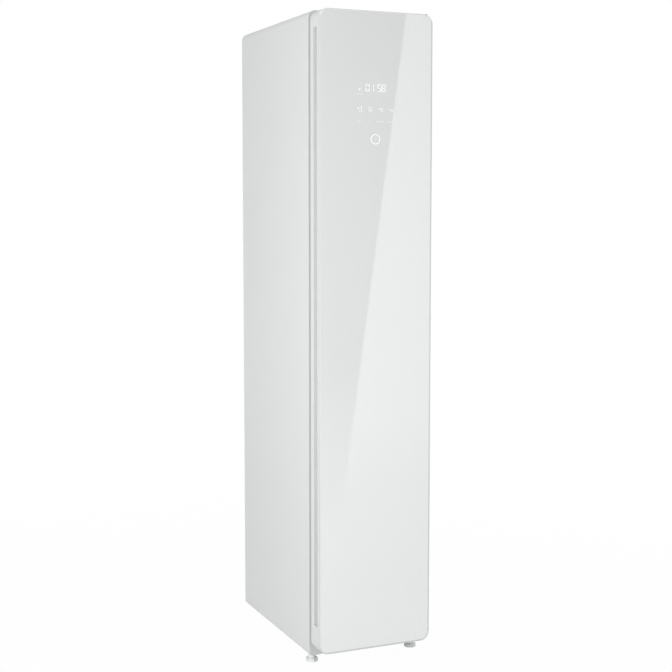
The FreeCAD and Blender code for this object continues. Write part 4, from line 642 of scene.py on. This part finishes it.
class CABINET_OT_casing(bpy.types.Operator):
    """Finish the casing: enamelled wrap and rear panel, front frame, galvanised pan, inlet and felt boards"""

    bl_idname = "cabinet.casing"
    bl_label = "Casing"

    def execute(self, context):
        dress(baked_enamel, "outer_wrap", "rear_panel")
        # The front frame's grey is painted shade for the gap round the door
        dress(frame_moulding, "front_frame")
        dress(galvanised_sheet, "base_pan")
        dress(black_moulding, "power_inlet")
        dress(pressed_felt, "insulation_boards")
        return {"FINISHED"}


class CABINET_OT_feet(bpy.types.Operator):
    """Finish the four feet: moulded stems and pads"""

    bl_idname = "cabinet.feet"
    bl_label = "Feet"

    def execute(self, context):
        for corner in ("front_left", "front_right", "rear_left", "rear_right"):
            dress(foot_moulding, f"{corner}_foot_stem", f"{corner}_foot_pad")
        return {"FINISHED"}


class CABINET_OT_door(bpy.types.Operator):
    """Finish the door: painted glass, moulded frame and panel, grip, core, board and magnets"""

    bl_idname = "cabinet.door"
    bl_label = "Door"

    def execute(self, context):
        dress(back_painted_glass, "door_glass")
        dress(white_moulding, "door_frame", "door_inner_panel")
        dress(grip_moulding, "door_grip")
        dress(kraft_board, "door_core")
        dress(solder_mask, "display_board")
        dress(nickel_plate, "door_magnets")
        return {"FINISHED"}


class CABINET_OT_clock(bpy.types.Operator):
    """Light the clock's seven-stroke figures and the status dot with its bar"""

    bl_idname = "cabinet.clock"
    bl_label = "Clock"

    # The lit strokes of each figure: top, middle, base, upper left, upper right, lower left, lower right
    FIGURES = {
        "0": "tb1234", "1": "24", "2": "tmb23", "3": "tmb24", "4": "m124",
        "5": "tmb14", "6": "tmb134", "7": "t24", "8": "tmb1234", "9": "tmb124",
    }

    # How far the status dot and the bar sit below the middle of the figures, in heights of a figure
    DOT_DROP, BAR_DROP = 0.27, 1.0

    def execute(self, context):
        sizes = context.scene.cabinet_display
        half, rise, gap = sizes.digit_width / 2, sizes.digit_height / 2, sizes.stroke_gap
        end = gap + sizes.digit_stroke / 2
        parts = {
            "t": ((-half + end, rise), (half - end, rise)),
            "m": ((-half + end, 0), (half - end, 0)),
            "b": ((-half + end, -rise), (half - end, -rise)),
            "1": ((-half, end), (-half, rise - gap)),
            "2": ((half, end), (half, rise - gap)),
            "3": ((-half, -rise + gap), (-half, -end)),
            "4": ((half, -rise + gap), (half, -end)),
        }
        count = len(sizes.clock)
        first = sizes.clock_middle - sizes.digit_pitch * (count - 1) / 2 - sizes.pair_room / 2
        lines = []
        for place, figure in enumerate(sizes.clock):
            across = first + place * sizes.digit_pitch + (sizes.pair_room if place >= count / 2 else 0)
            for part in self.FIGURES[figure]:
                ends = [(across + x, sizes.clock_height + z) for x, z in parts[part]]
                lines.append((ends, False))
        light("clock_figures", lines, sizes.digit_stroke, bright_mark)
        self.status(sizes)
        return {"FINISHED"}

    def status(self, sizes):
        """The round status dot, and the bar under it."""
        middle, reach = sizes.icon_first, sizes.bar_width / 2
        dot_height = sizes.clock_height - sizes.digit_height * self.DOT_DROP
        bar_height = sizes.clock_height - sizes.digit_height * self.BAR_DROP
        dot = [(arc((middle, dot_height), sizes.dot_size / 4), True)]
        light("status_dot", dot, sizes.dot_size / 2, bright_mark)
        bar = [([(middle - reach, bar_height), (middle + reach, bar_height)], False)]
        light("status_bar", bar, sizes.label_stroke, dim_mark)


class CABINET_OT_marks(bpy.types.Operator):
    """Draw the four programme marks, the dashes under them and the touch ring"""

    bl_idname = "cabinet.marks"
    bl_label = "Programme marks"

    # How far the dash under each mark is shifted, and its width, in widths of a mark
    DASHES = ((-0.1, 0.84), (-0.3, 0.3), (-0.15, 1.5), (-0.2, 1.5))

    # Straight steps in the round of the touch ring
    RING_STEPS = 95

    def execute(self, context):
        sizes = context.scene.cabinet_display
        marks = (self.cloth, self.drum, self.steam, self.shelf)
        for place, mark in enumerate(marks):
            middle = (sizes.icon_first + place * sizes.icon_pitch, sizes.icon_height)
            light(f"{mark.__name__}_mark", mark(middle, sizes.icon_size / 2), sizes.icon_stroke, dim_mark)
        dashes = []
        for place, (shift, width) in enumerate(self.DASHES):
            middle = sizes.icon_first + place * sizes.icon_pitch + shift * sizes.icon_size
            half = sizes.icon_size * width / 2
            dashes.append(([(middle - half, sizes.label_height), (middle + half, sizes.label_height)], False))
        light("mark_dashes", dashes, sizes.label_stroke, dim_mark)
        middle = (sizes.ring_middle, sizes.ring_height)
        ring = [(arc(middle, sizes.ring_radius, steps=self.RING_STEPS), True)]
        light("touch_ring", ring, sizes.ring_stroke, bright_mark)
        return {"FINISHED"}

    @staticmethod
    def spread(middle, half, lines):
        """Lines given in shares of half a mark's width, set about its middle. All stay open."""
        return [([(middle[0] + half * x, middle[1] + half * z) for x, z in line], False) for line in lines]

    def cloth(self, middle, half):
        """A fold of cloth with a straight hem, beside a rail."""
        fold = [(-0.9, 0.6), (-0.5, -0.1), (0.3, -1.1)]
        return self.spread(middle, half, (fold, [(-0.9, 0.6), (0.6, 0.6)], [(0.75, 1.4), (0.75, -1.2)]))

    def drum(self, middle, half):
        """A square drum with a sill."""
        sides = [(-0.65, -0.6), (-0.65, 0.8), (0.65, 0.8), (0.65, -0.6), (-0.65, -0.6)]
        return self.spread(middle, half, (sides, [(-0.65, -0.25), (0.65, -0.25)]))

    def steam(self, middle, half):
        """A puff over two upright wisps."""
        puff = [(-1.0, 0.2), (-0.8, 0.6), (-0.3, 0.6), (-0.5, 0.1)]
        return self.spread(middle, half, (puff, [(0.05, 0.75), (0.05, -0.9)], [(0.7, 0.75), (0.7, -0.9)]))

    def shelf(self, middle, half):
        """A flat shelf with a raised end."""
        top = [(-1.3, 0.65), (-0.6, 0.05), (1.2, 0.05)]
        return self.spread(middle, half, (top, [(-0.5, -0.25), (1.1, -0.25)]))


class CABINET_OT_seal(bpy.types.Operator):
    """Sweep the door's soft seal, with its two lips, round the opening"""

    bl_idname = "cabinet.seal"
    bl_label = "Door seal"

    # Straight steps in the round of each lip
    LIP_STEPS = 10

    def profile(self, width, depth, groove):
        """The seal's section: a flat foot on the door, and two round lips with a groove between them."""
        half, lip = width / 2, width / 4
        right, left = (arc((middle, depth - lip), lip, 0.0, 180.0, self.LIP_STEPS) for middle in (lip, -lip))
        points = [(-half, 0), (half, 0), *right, (0.0, depth - groove), *left]
        curve = bpy.data.curves.new("seal_section", "CURVE")
        curve.dimensions = "3D"
        spline = curve.splines.new("POLY")
        spline.points.add(len(points) - 1)
        for place, (x, y) in zip(spline.points, points):
            place.co = (x, y, 0.0, 1.0)
        spline.use_cyclic_u = True
        section = bpy.data.objects.new("seal_section", curve)
        bpy.context.scene.collection.objects.link(section)
        return section

    def tree(self):
        """A rounded frame in the XY plane, with the section swept along it."""
        inputs = (("Width", "Float"), ("Height", "Float"), ("Corner", "Float"), ("Section", "Object"))
        tree, given, result = geometry_tree("seal_sweep", inputs + (("Material", "Material"),))
        sides = {"Width": given["Width"], "Height": given["Height"]}
        frame_line = add(tree, "GeometryNodeCurvePrimitiveQuadrilateral", sides)
        corners = {"Curve": frame_line.outputs["Curve"], "Count": 12, "Radius": given["Corner"]}
        path = add(tree, "GeometryNodeFilletCurve", corners, mode="POLY")
        upright = add(tree, "GeometryNodeSetCurveNormal", {"Curve": path.outputs["Curve"]}, mode="Z_UP")
        section = add(tree, "GeometryNodeObjectInfo", {"Object": given["Section"]})
        swept = {"Curve": upright.outputs["Curve"], "Profile Curve": section.outputs["Geometry"]}
        solid = add(tree, "GeometryNodeCurveToMesh", swept)
        finish_tree(tree, solid.outputs["Mesh"], given, result)
        return tree

    def execute(self, context):
        sizes = context.scene.cabinet_fittings
        low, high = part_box("door_gasket")
        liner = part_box("chamber_liner")
        # The seal reaches from the liner's side to the gasket's outer edge
        width = (high.x - low.x) / 2 - max(abs(corner.x) for corner in liner)
        section = self.profile(width, high.y - low.y, sizes.seal_groove)
        values = {
            "Width": high.x - low.x - width,
            "Height": high.z - low.z - width,
            "Corner": sizes.seal_corner,
            "Section": section,
            "Material": finish(soft_seal),
        }
        mesh = grown("seal", self.tree(), bpy.data.meshes.new("seal_seed"), values)
        bpy.data.objects.remove(section)
        middle = (low + high) / 2
        for vertex in mesh.vertices:
            x, y, z = vertex.co
            vertex.co = (middle.x + x, low.y + z, middle.z + y)
        mesh.flip_normals()
        piece = keep("door_seal", mesh, soft_seal, "door")
        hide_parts("door_gasket")
        return {"FINISHED"}


class CABINET_OT_screws(bpy.types.Operator):
    """Set pan-head screws with cross recesses on the rear panel and the hinge brackets"""

    bl_idname = "cabinet.screws"
    bl_label = "Screws"

    # Sides of the block that cuts the dome off at its seat, in radii and heights of the head
    CUT_WIDTH, CUT_HEIGHT = 2.2, 2.0

    def tree(self):
        """A domed head on a shank with a cross recess, at every point; the head points along +Z."""
        labels = (
            "Head Radius", "Head Height", "Shank Radius", "Shank Length", "Recess Width", "Recess Depth",
        )
        floats = tuple((label, "Float") for label in labels)
        turned = (("Turn", "Vector"), ("Material", "Material"))
        tree, given, result = geometry_tree("pan_head_screws", floats + turned)
        radius, height = given["Head Radius"], given["Head Height"]

        # Sizes worked out from the inputs
        multiples = (
            ("cut width", radius, self.CUT_WIDTH),
            ("cut height", height, self.CUT_HEIGHT),
            ("cut drop", height, -self.CUT_HEIGHT / 2),
            ("recess height", given["Recess Depth"], 2.0),
            ("shank drop", given["Shank Length"], -0.5),
        )
        worked = {}
        for label, size, factor in multiples:
            worked[label] = add(tree, "ShaderNodeMath", {0: size, 1: factor}, operation="MULTIPLY").outputs[0]

        # The head: a flattened ball without the two bars of the recess and all that lies below the seat
        ball = add(tree, "GeometryNodeMeshUVSphere", {"Segments": 24, "Rings": 16, "Radius": 1.0})
        flat = add(tree, "ShaderNodeCombineXYZ", {"X": radius, "Y": radius, "Z": height})
        squashed = {"Geometry": ball.outputs["Mesh"], "Scale": flat.outputs["Vector"]}
        dome = add(tree, "GeometryNodeTransform", squashed)
        whole = {"Mesh 1": dome.outputs["Geometry"]}
        head = add(tree, "GeometryNodeMeshBoolean", whole, operation="DIFFERENCE")
        cutters = (
            (given["Recess Width"], radius, worked["recess height"], height),
            (radius, given["Recess Width"], worked["recess height"], height),
            (worked["cut width"], worked["cut width"], worked["cut height"], worked["cut drop"]),
        )
        for width, depth, rise, place in cutters:
            sides = add(tree, "ShaderNodeCombineXYZ", {"X": width, "Y": depth, "Z": rise})
            block = add(tree, "GeometryNodeMeshCube", {"Size": sides.outputs["Vector"]})
            up = add(tree, "ShaderNodeCombineXYZ", {"Z": place})
            moved = {"Geometry": block.outputs["Mesh"], "Translation": up.outputs["Vector"]}
            cutter = add(tree, "GeometryNodeTransform", moved)
            tree.links.new(cutter.outputs["Geometry"], head.inputs["Mesh 2"])

        # The shank hangs below the seat
        round_bar = {"Vertices": 12, "Radius": given["Shank Radius"], "Depth": given["Shank Length"]}
        rod = add(tree, "GeometryNodeMeshCylinder", round_bar)
        down = add(tree, "ShaderNodeCombineXYZ", {"Z": worked["shank drop"]})
        sunk = {"Geometry": rod.outputs["Mesh"], "Translation": down.outputs["Vector"]}
        shank = add(tree, "GeometryNodeTransform", sunk)
        screw = add(tree, "GeometryNodeJoinGeometry", {"Geometry": head.outputs["Mesh"]})
        tree.links.new(shank.outputs["Geometry"], screw.inputs["Geometry"])

        turn = add(tree, "FunctionNodeEulerToRotation", {"Euler": given["Turn"]})
        spread = {
            "Points": given["Geometry"],
            "Instance": screw.outputs["Geometry"],
            "Rotation": turn.outputs["Rotation"],
        }
        placed = add(tree, "GeometryNodeInstanceOnPoints", spread)
        finish_tree(tree, placed.outputs["Instances"], given, result)
        return tree

    def execute(self, context):
        sizes = context.scene.cabinet_fittings
        tree = self.tree()
        # The rear panel's heads face +Y, the hinge brackets' heads -Y
        for node, way in (("rear_screws", 1), ("hinge_screws", -1)):
            boxes = solids(node)
            low, high = boxes[0]
            tall = self.head_height(node, low, high)
            seat = high.y - tall if way > 0 else low.y + tall
            base = bpy.data.meshes.new(f"{node}_places")
            base.from_pydata([((a.x + b.x) / 2, seat, (a.z + b.z) / 2) for a, b in boxes], [], [])
            values = {
                "Head Radius": (high.x - low.x) / 2,
                "Head Height": tall,
                "Shank Radius": (high.x - low.x) / 4,
                "Shank Length": high.y - low.y - tall,
                "Recess Width": sizes.recess_width,
                "Recess Depth": sizes.recess_depth,
                "Turn": (-math.pi / 2 * way, 0.0, 0.0),
                "Material": finish(polished_steel),
            }
            mesh = grown(f"{node}_grown", tree, base, values)
            piece = keep(f"{node}_pan_heads", mesh, polished_steel, "cabinet")
            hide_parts(node)
        return {"FINISHED"}

    def head_height(self, node, low, high):
        """The height of a screw's head: the stretch where the screw between the corners is widest."""
        middle, reach = (low.x + high.x) / 2, (high.x - low.x) / 2
        widest = [
            point.co.y
            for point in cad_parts[node].data.vertices
            if abs(abs(point.co.x - middle) - reach) < 0.05 * MM and low.z <= point.co.z <= high.z
        ]
        return max(widest) - min(widest)


class CABINET_OT_hinges(bpy.types.Operator):
    """Finish the hinges: brackets and strike plates, pins and bushes"""

    bl_idname = "cabinet.hinges"
    bl_label = "Hinges"

    def execute(self, context):
        dress(galvanised_sheet, "lower_hinge_bracket", "upper_hinge_bracket", "strike_plates")
        dress(polished_steel, "hinge_pins")
        dress(grey_nylon, "hinge_bushes")
        return {"FINISHED"}


class CABINET_OT_chamber(bpy.types.Operator):
    """Finish the chamber: liner, base moulding, lamp, shelf and air outlet"""

    bl_idname = "cabinet.chamber"
    bl_label = "Chamber"

    def execute(self, context):
        dress(white_moulding, "chamber_liner", "base_moulding")
        dress(opal_lens, "chamber_lamp")
        dress(grey_moulding, "garment_shelf", "air_outlet_grille")
        return {"FINISHED"}


class CABINET_OT_tanks(bpy.types.Operator):
    """Finish the two tanks and their lids, and mould level marks on the tanks' fronts"""

    bl_idname = "cabinet.tanks"
    bl_label = "Tanks"

    # Where the level marks start and how much of the height they take, in heights of the tank
    START, SPAN = 0.2, 0.7

    # Half widths of the long and the short marks, in widths of the tank, and how far all stand out
    LONG, SHORT = 0.16, 0.1
    PROUD = 0.2 * MM

    def execute(self, context):
        sizes = context.scene.cabinet_fittings
        for tank in ("water_tank", "drain_tank"):
            dress(clear_tank, tank)
            dress(lid_moulding, f"{tank}_lid")
            low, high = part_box(tank)
            middle, width, height = (low.x + high.x) / 2, high.x - low.x, high.z - low.z
            lines = []
            for step in range(int(height * self.SPAN / sizes.mark_pitch)):
                rise = low.z + height * self.START + step * sizes.mark_pitch
                half = width * (self.SHORT if step % 2 else self.LONG)
                lines.append(([(middle - half, rise), (middle + half, rise)], False))
            mesh = strokes(f"{tank}_marks", lines, sizes.mark_stroke, low.y, self.PROUD)
            keep(f"{tank}_marks", mesh, lid_moulding, tank)
        return {"FINISHED"}


class CABINET_OT_filter(bpy.types.Operator):
    """Finish the lint basket and weave the net on its floor"""

    bl_idname = "cabinet.filter"
    bl_label = "Lint filter"

    def tree(self):
        """Threads along X and along Y that cross on a rectangle in the XY plane."""
        inputs = (("Width", "Float"), ("Depth", "Float"), ("Pitch", "Float"), ("Thread", "Float"))
        tree, given, result = geometry_tree("lint_net", inputs + (("Material", "Material"),))
        woven = add(tree, "GeometryNodeJoinGeometry")
        radius = add(tree, "ShaderNodeMath", {0: given["Thread"], 1: 0.5}, operation="MULTIPLY").outputs[0]
        # The side that the threads run along, the side and axis that they are spread over, and their turn
        ways = (
            ("Width", "Depth", "Y", (0, math.pi / 2, 0)),
            ("Depth", "Width", "X", (math.pi / 2, 0, 0)),
        )
        for along, over, axis, turn in ways:
            half = add(tree, "ShaderNodeMath", {0: given[over], 1: -0.5}, operation="MULTIPLY").outputs[0]
            count = add(tree, "ShaderNodeMath", {0: given[over], 1: given["Pitch"]}, operation="DIVIDE")
            row = {
                "Count": count.outputs[0],
                "Start Location": add(tree, "ShaderNodeCombineXYZ", {axis: half}).outputs["Vector"],
                "Offset": add(tree, "ShaderNodeCombineXYZ", {axis: given["Pitch"]}).outputs["Vector"],
            }
            line = add(tree, "GeometryNodeMeshLine", row, mode="OFFSET")
            thread = {"Vertices": 6, "Radius": radius, "Depth": given[along]}
            rod = add(tree, "GeometryNodeMeshCylinder", thread)
            laid = add(tree, "GeometryNodeTransform", {"Geometry": rod.outputs["Mesh"], "Rotation": turn})
            spread = {"Points": line.outputs["Mesh"], "Instance": laid.outputs["Geometry"]}
            placed = add(tree, "GeometryNodeInstanceOnPoints", spread)
            tree.links.new(placed.outputs["Instances"], woven.inputs["Geometry"])
        finish_tree(tree, woven.outputs["Geometry"], given, result)
        return tree

    def execute(self, context):
        dress(grey_moulding, "lint_filter")
        sizes = context.scene.cabinet_fittings
        low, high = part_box("lint_filter")
        values = {
            "Width": high.x - low.x - 2 * sizes.net_rim,
            "Depth": high.y - low.y - 2 * sizes.net_rim,
            "Pitch": sizes.net_pitch,
            "Thread": sizes.net_thread,
            "Material": finish(lint_thread),
        }
        mesh = grown("net", self.tree(), bpy.data.meshes.new("net_seed"), values)
        for vertex in mesh.vertices:
            vertex.co += Vector(((low.x + high.x) / 2, (low.y + high.y) / 2, low.z + sizes.net_lift))
        keep("lint_net", mesh, lint_thread, "lint_filter")
        return {"FINISHED"}


class CABINET_OT_drive(bpy.types.Operator):
    """Finish the moving hanger: tray, rods, carriage, bar, crank, motor and control board"""

    bl_idname = "cabinet.drive"
    bl_label = "Moving hanger"

    def execute(self, context):
        dress(galvanised_sheet, "top_tray")
        dress(polished_steel, "guide_rods", "hanger_bar", "crank_disc")
        dress(grey_nylon, "hanger_carriage")
        dress(drawn_steel, "drive_motor")
        dress(solder_mask, "control_board")
        return {"FINISHED"}


class CABINET_OT_machine(bpy.types.Operator):
    """Finish the machine space: duct, blower, coils, compressor, boiler, nozzle, pump, hose and pipes"""

    bl_idname = "cabinet.machine"
    bl_label = "Machine space"

    def execute(self, context):
        dress(grey_nylon, "rear_duct", "fan_housing", "fan_wheel", "steam_nozzle", "water_pipes")
        dress(drawn_steel, "fan_motor", "feed_pump")
        dress(fin_aluminium, "evaporator_coil", "condenser_coil")
        dress(gloss_black_enamel, "compressor")
        dress(black_rubber, "compressor_mounts", "steam_hose")
        dress(cast_aluminium, "steam_generator")
        dress(drawn_copper, "refrigerant_pipes")
        return {"FINISHED"}


class CABINET_OT_stage(bpy.types.Operator):
    """Set up the studio: white floor, soft lamps, reflection card and camera"""

    bl_idname = "cabinet.stage"
    bl_label = "Studio"

    # All places and distances here are in metres, from the middle of the cabinet's footprint

    # The floor reaches this far to every side
    FLOOR_REACH = 30.0

    # The floor turns plain white between these distances
    GLOW_START, GLOW_END = 0.8, 3.0

    # The floor's dip comes in between the first two distances and goes out between the last two
    DIP_IN, DIP_OUT = (0.5, 1.1), (2.8, 4.5)

    # The dark card stands upright at this Y. Its right edge slants from the base to the top
    CARD_Y, CARD_HEIGHT = -1.9, 2.77
    CARD_LEFT, CARD_RIGHT_BASE, CARD_RIGHT_TOP = 0.3, 0.586, 0.977

    # The card covers this share at the floor, and all from this height up
    CARD_THINNEST, CARD_FULL = 0.1, 0.65

    # Each lamp's name and place. All have one size and face one point
    LAMPS = (("key", (-2.4, -1.92, 1.2)), ("front", (1.5, -2.4, 1.0)), ("rear", (2.4, 2.4, 1.3)))
    LAMP_SIZE, LAMP_TARGET = 1.5, (0.0, 0.0, 1.0)

    def seen(self, tree):
        """1 for a ray that shows the background: from the camera, off gloss, or through glass."""
        path = add(tree, "ShaderNodeLightPath").outputs
        seen = path["Is Camera Ray"]
        for ray in ("Is Glossy Ray", "Is Transmission Ray"):
            seen = add(tree, "ShaderNodeMath", {0: seen, 1: path[ray]}, operation="MAXIMUM").outputs[0]
        return seen

    def room(self, scene, sizes):
        """White where it is seen, and a soft fill where it lights the cabinet."""
        world = bpy.data.worlds.new("studio_room")
        world.use_nodes = True
        tree = world.node_tree
        span = {"Value": self.seen(tree), "To Min": sizes.fill, "To Max": 1.0}
        strength = add(tree, "ShaderNodeMapRange", span).outputs["Result"]
        tree.nodes["Background"].inputs["Color"].default_value = linear("#FFFFFF")
        tree.links.new(strength, tree.nodes["Background"].inputs["Strength"])
        scene.world = world

    def sheet(self, scene, name, corners, material_name):
        """A flat sheet with four corners. Returns it and the empty node tree of its material."""
        mesh = bpy.data.meshes.new(name)
        mesh.from_pydata(corners, [], [(0, 1, 2, 3)])
        sheet = bpy.data.objects.new(name, mesh)
        scene.collection.objects.link(sheet)
        material = bpy.data.materials.new(material_name)
        material.use_nodes = True
        material.node_tree.nodes.clear()
        mesh.materials.append(material)
        return sheet, material.node_tree

    def floor(self, scene, sizes):
        """A paper floor that is seen as white, and keeps a soft part of the cabinet's shadow."""
        half = self.FLOOR_REACH
        corners = [(-half, -half, 0), (half, -half, 0), (half, half, 0), (-half, half, 0)]
        floor, tree = self.sheet(scene, "floor", corners, "studio_paper")
        where = add(tree, "ShaderNodeTexCoord").outputs["Object"]
        away = add(tree, "ShaderNodeVectorMath", {0: where}, operation="LENGTH").outputs["Value"]
        fade = {"From Min": self.GLOW_START, "From Max": self.GLOW_END, "To Min": sizes.floor_share}
        share = add(tree, "ShaderNodeMapRange", {"Value": away, **fade}).outputs["Result"]
        glowing = {0: self.seen(tree), 1: share}
        factor = add(tree, "ShaderNodeMath", glowing, operation="MULTIPLY").outputs[0]
        loss = add(tree, "ShaderNodeLightPath").outputs["Is Glossy Ray"]
        for (start, end), first, last in ((self.DIP_IN, 0.0, sizes.floor_dip), (self.DIP_OUT, 1.0, 0.0)):
            span = {"Value": away, "From Min": start, "From Max": end, "To Min": first, "To Max": last}
            part = add(tree, "ShaderNodeMapRange", span).outputs["Result"]
            loss = add(tree, "ShaderNodeMath", {0: loss, 1: part}, operation="MULTIPLY").outputs[0]
        strength = add(tree, "ShaderNodeMath", {0: 1.0, 1: loss}, operation="SUBTRACT").outputs[0]
        paper = add(tree, "ShaderNodeBsdfDiffuse", {"Color": sizes.paper})
        glow = add(tree, "ShaderNodeEmission", {"Color": linear("#FFFFFF"), "Strength": strength})
        mixed = add(tree, "ShaderNodeMixShader", {0: factor, 1: paper.outputs[0], 2: glow.outputs[0]})
        add(tree, "ShaderNodeOutputMaterial", {"Surface": mixed.outputs[0]})

    def card(self, scene):
        """A dark card in front of the cabinet that only gloss sees. Its slanted edge shows in the glass."""
        y, top = self.CARD_Y, self.CARD_HEIGHT
        right_side = [(self.CARD_RIGHT_BASE, y, 0.0), (self.CARD_RIGHT_TOP, y, top)]
        corners = [(self.CARD_LEFT, y, 0.0), *right_side, (self.CARD_LEFT, y, top)]
        card, tree = self.sheet(scene, "dark_card", corners, "dark_card")
        rise = add(tree, "ShaderNodeSeparateXYZ", {0: add(tree, "ShaderNodeTexCoord").outputs["Object"]})
        fade = {"Value": rise.outputs["Z"], "From Max": self.CARD_FULL, "To Min": self.CARD_THINNEST}
        cover = add(tree, "ShaderNodeMapRange", fade).outputs["Result"]
        clear = add(tree, "ShaderNodeBsdfTransparent")
        dark = add(tree, "ShaderNodeEmission", {"Color": linear("#000000"), "Strength": 0.0})
        mixed = add(tree, "ShaderNodeMixShader", {0: cover, 1: clear.outputs[0], 2: dark.outputs[0]})
        add(tree, "ShaderNodeOutputMaterial", {"Surface": mixed.outputs[0]})
        card.visible_camera = False
        card.visible_diffuse = False
        card.visible_shadow = False

    def lamp(self, scene, name, place, power):
        """A square soft lamp at a place, which gloss doesn't show."""
        light = bpy.data.lights.new(name, "AREA")
        light.size = self.LAMP_SIZE
        light.energy = power
        lamp = bpy.data.objects.new(name, light)
        scene.collection.objects.link(lamp)
        lamp.location = place
        way = Vector(self.LAMP_TARGET) - Vector(place)
        lamp.rotation_euler = way.to_track_quat("-Z", "Y").to_euler()
        lamp.visible_glossy = False

    def camera(self, scene, sizes):
        """The camera stands to the front left, a little above the cabinet's middle."""
        data = bpy.data.cameras.new("camera")
        data.sensor_width = 36.0
        data.lens = sizes.camera_lens
        data.shift_y = -sizes.camera_shift
        camera = bpy.data.objects.new("camera", data)
        scene.collection.objects.link(camera)
        camera.location = (sizes.camera_x, sizes.camera_y, sizes.camera_z)
        camera.rotation_euler = Euler((math.pi / 2 - sizes.camera_tilt, 0.0, -sizes.camera_turn))
        scene.camera = camera

    def execute(self, context):
        scene = context.scene
        sizes = scene.cabinet_stage
        self.room(scene, sizes)
        self.floor(scene, sizes)
        self.card(scene)
        for name, place in self.LAMPS:
            self.lamp(scene, f"{name}_lamp", place, getattr(sizes, f"{name}_power"))
        self.camera(scene, sizes)
        scene.view_settings.view_transform = "Standard"
        return {"FINISHED"}


# ---- Add-on ----------------------------------------------------------------------------------------

OPERATORS = (
    CABINET_OT_casing,
    CABINET_OT_feet,
    CABINET_OT_door,
    CABINET_OT_clock,
    CABINET_OT_marks,
    CABINET_OT_seal,
    CABINET_OT_screws,
    CABINET_OT_hinges,
    CABINET_OT_chamber,
    CABINET_OT_tanks,
    CABINET_OT_filter,
    CABINET_OT_drive,
    CABINET_OT_machine,
    CABINET_OT_stage,
)


class CABINET_PT_sidebar(bpy.types.Panel):
    """Lists the operators and the values that they read"""

    bl_label = "Steam cabinet"
    bl_idname = "CABINET_PT_sidebar"
    bl_space_type = "VIEW_3D"
    bl_region_type = "UI"
    bl_category = "Steam cabinet"

    def draw(self, context):
        for group in GROUPS:
            values = getattr(context.scene, group)
            box = self.layout.box()
            for name in values.bl_rna.properties.keys():
                if name not in ("rna_type", "name"):
                    box.prop(values, name)
        for operator in OPERATORS:
            self.layout.operator(operator.bl_idname)


GROUPS = {
    "cabinet_colours": CabinetColours,
    "cabinet_display": CabinetDisplay,
    "cabinet_fittings": CabinetFittings,
    "cabinet_stage": CabinetStage,
}


def register():
    """Adds the values, the operators and the panel to Blender."""
    for item in (*GROUPS.values(), *OPERATORS, CABINET_PT_sidebar):
        bpy.utils.register_class(item)
    for name, group in GROUPS.items():
        setattr(bpy.types.Scene, name, bpy.props.PointerProperty(type=group))


def unregister():
    """Takes them away again."""
    for name in GROUPS:
        delattr(bpy.types.Scene, name)
    for item in reversed((*GROUPS.values(), *OPERATORS, CABINET_PT_sidebar)):
        bpy.utils.unregister_class(item)


def main():
    """Dresses the cabinet."""
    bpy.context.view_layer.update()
    register()
    for operator in OPERATORS:
        group, name = operator.bl_idname.split(".")
        getattr(getattr(bpy.ops, group), name)()


if __name__ == "__main__":
    main()
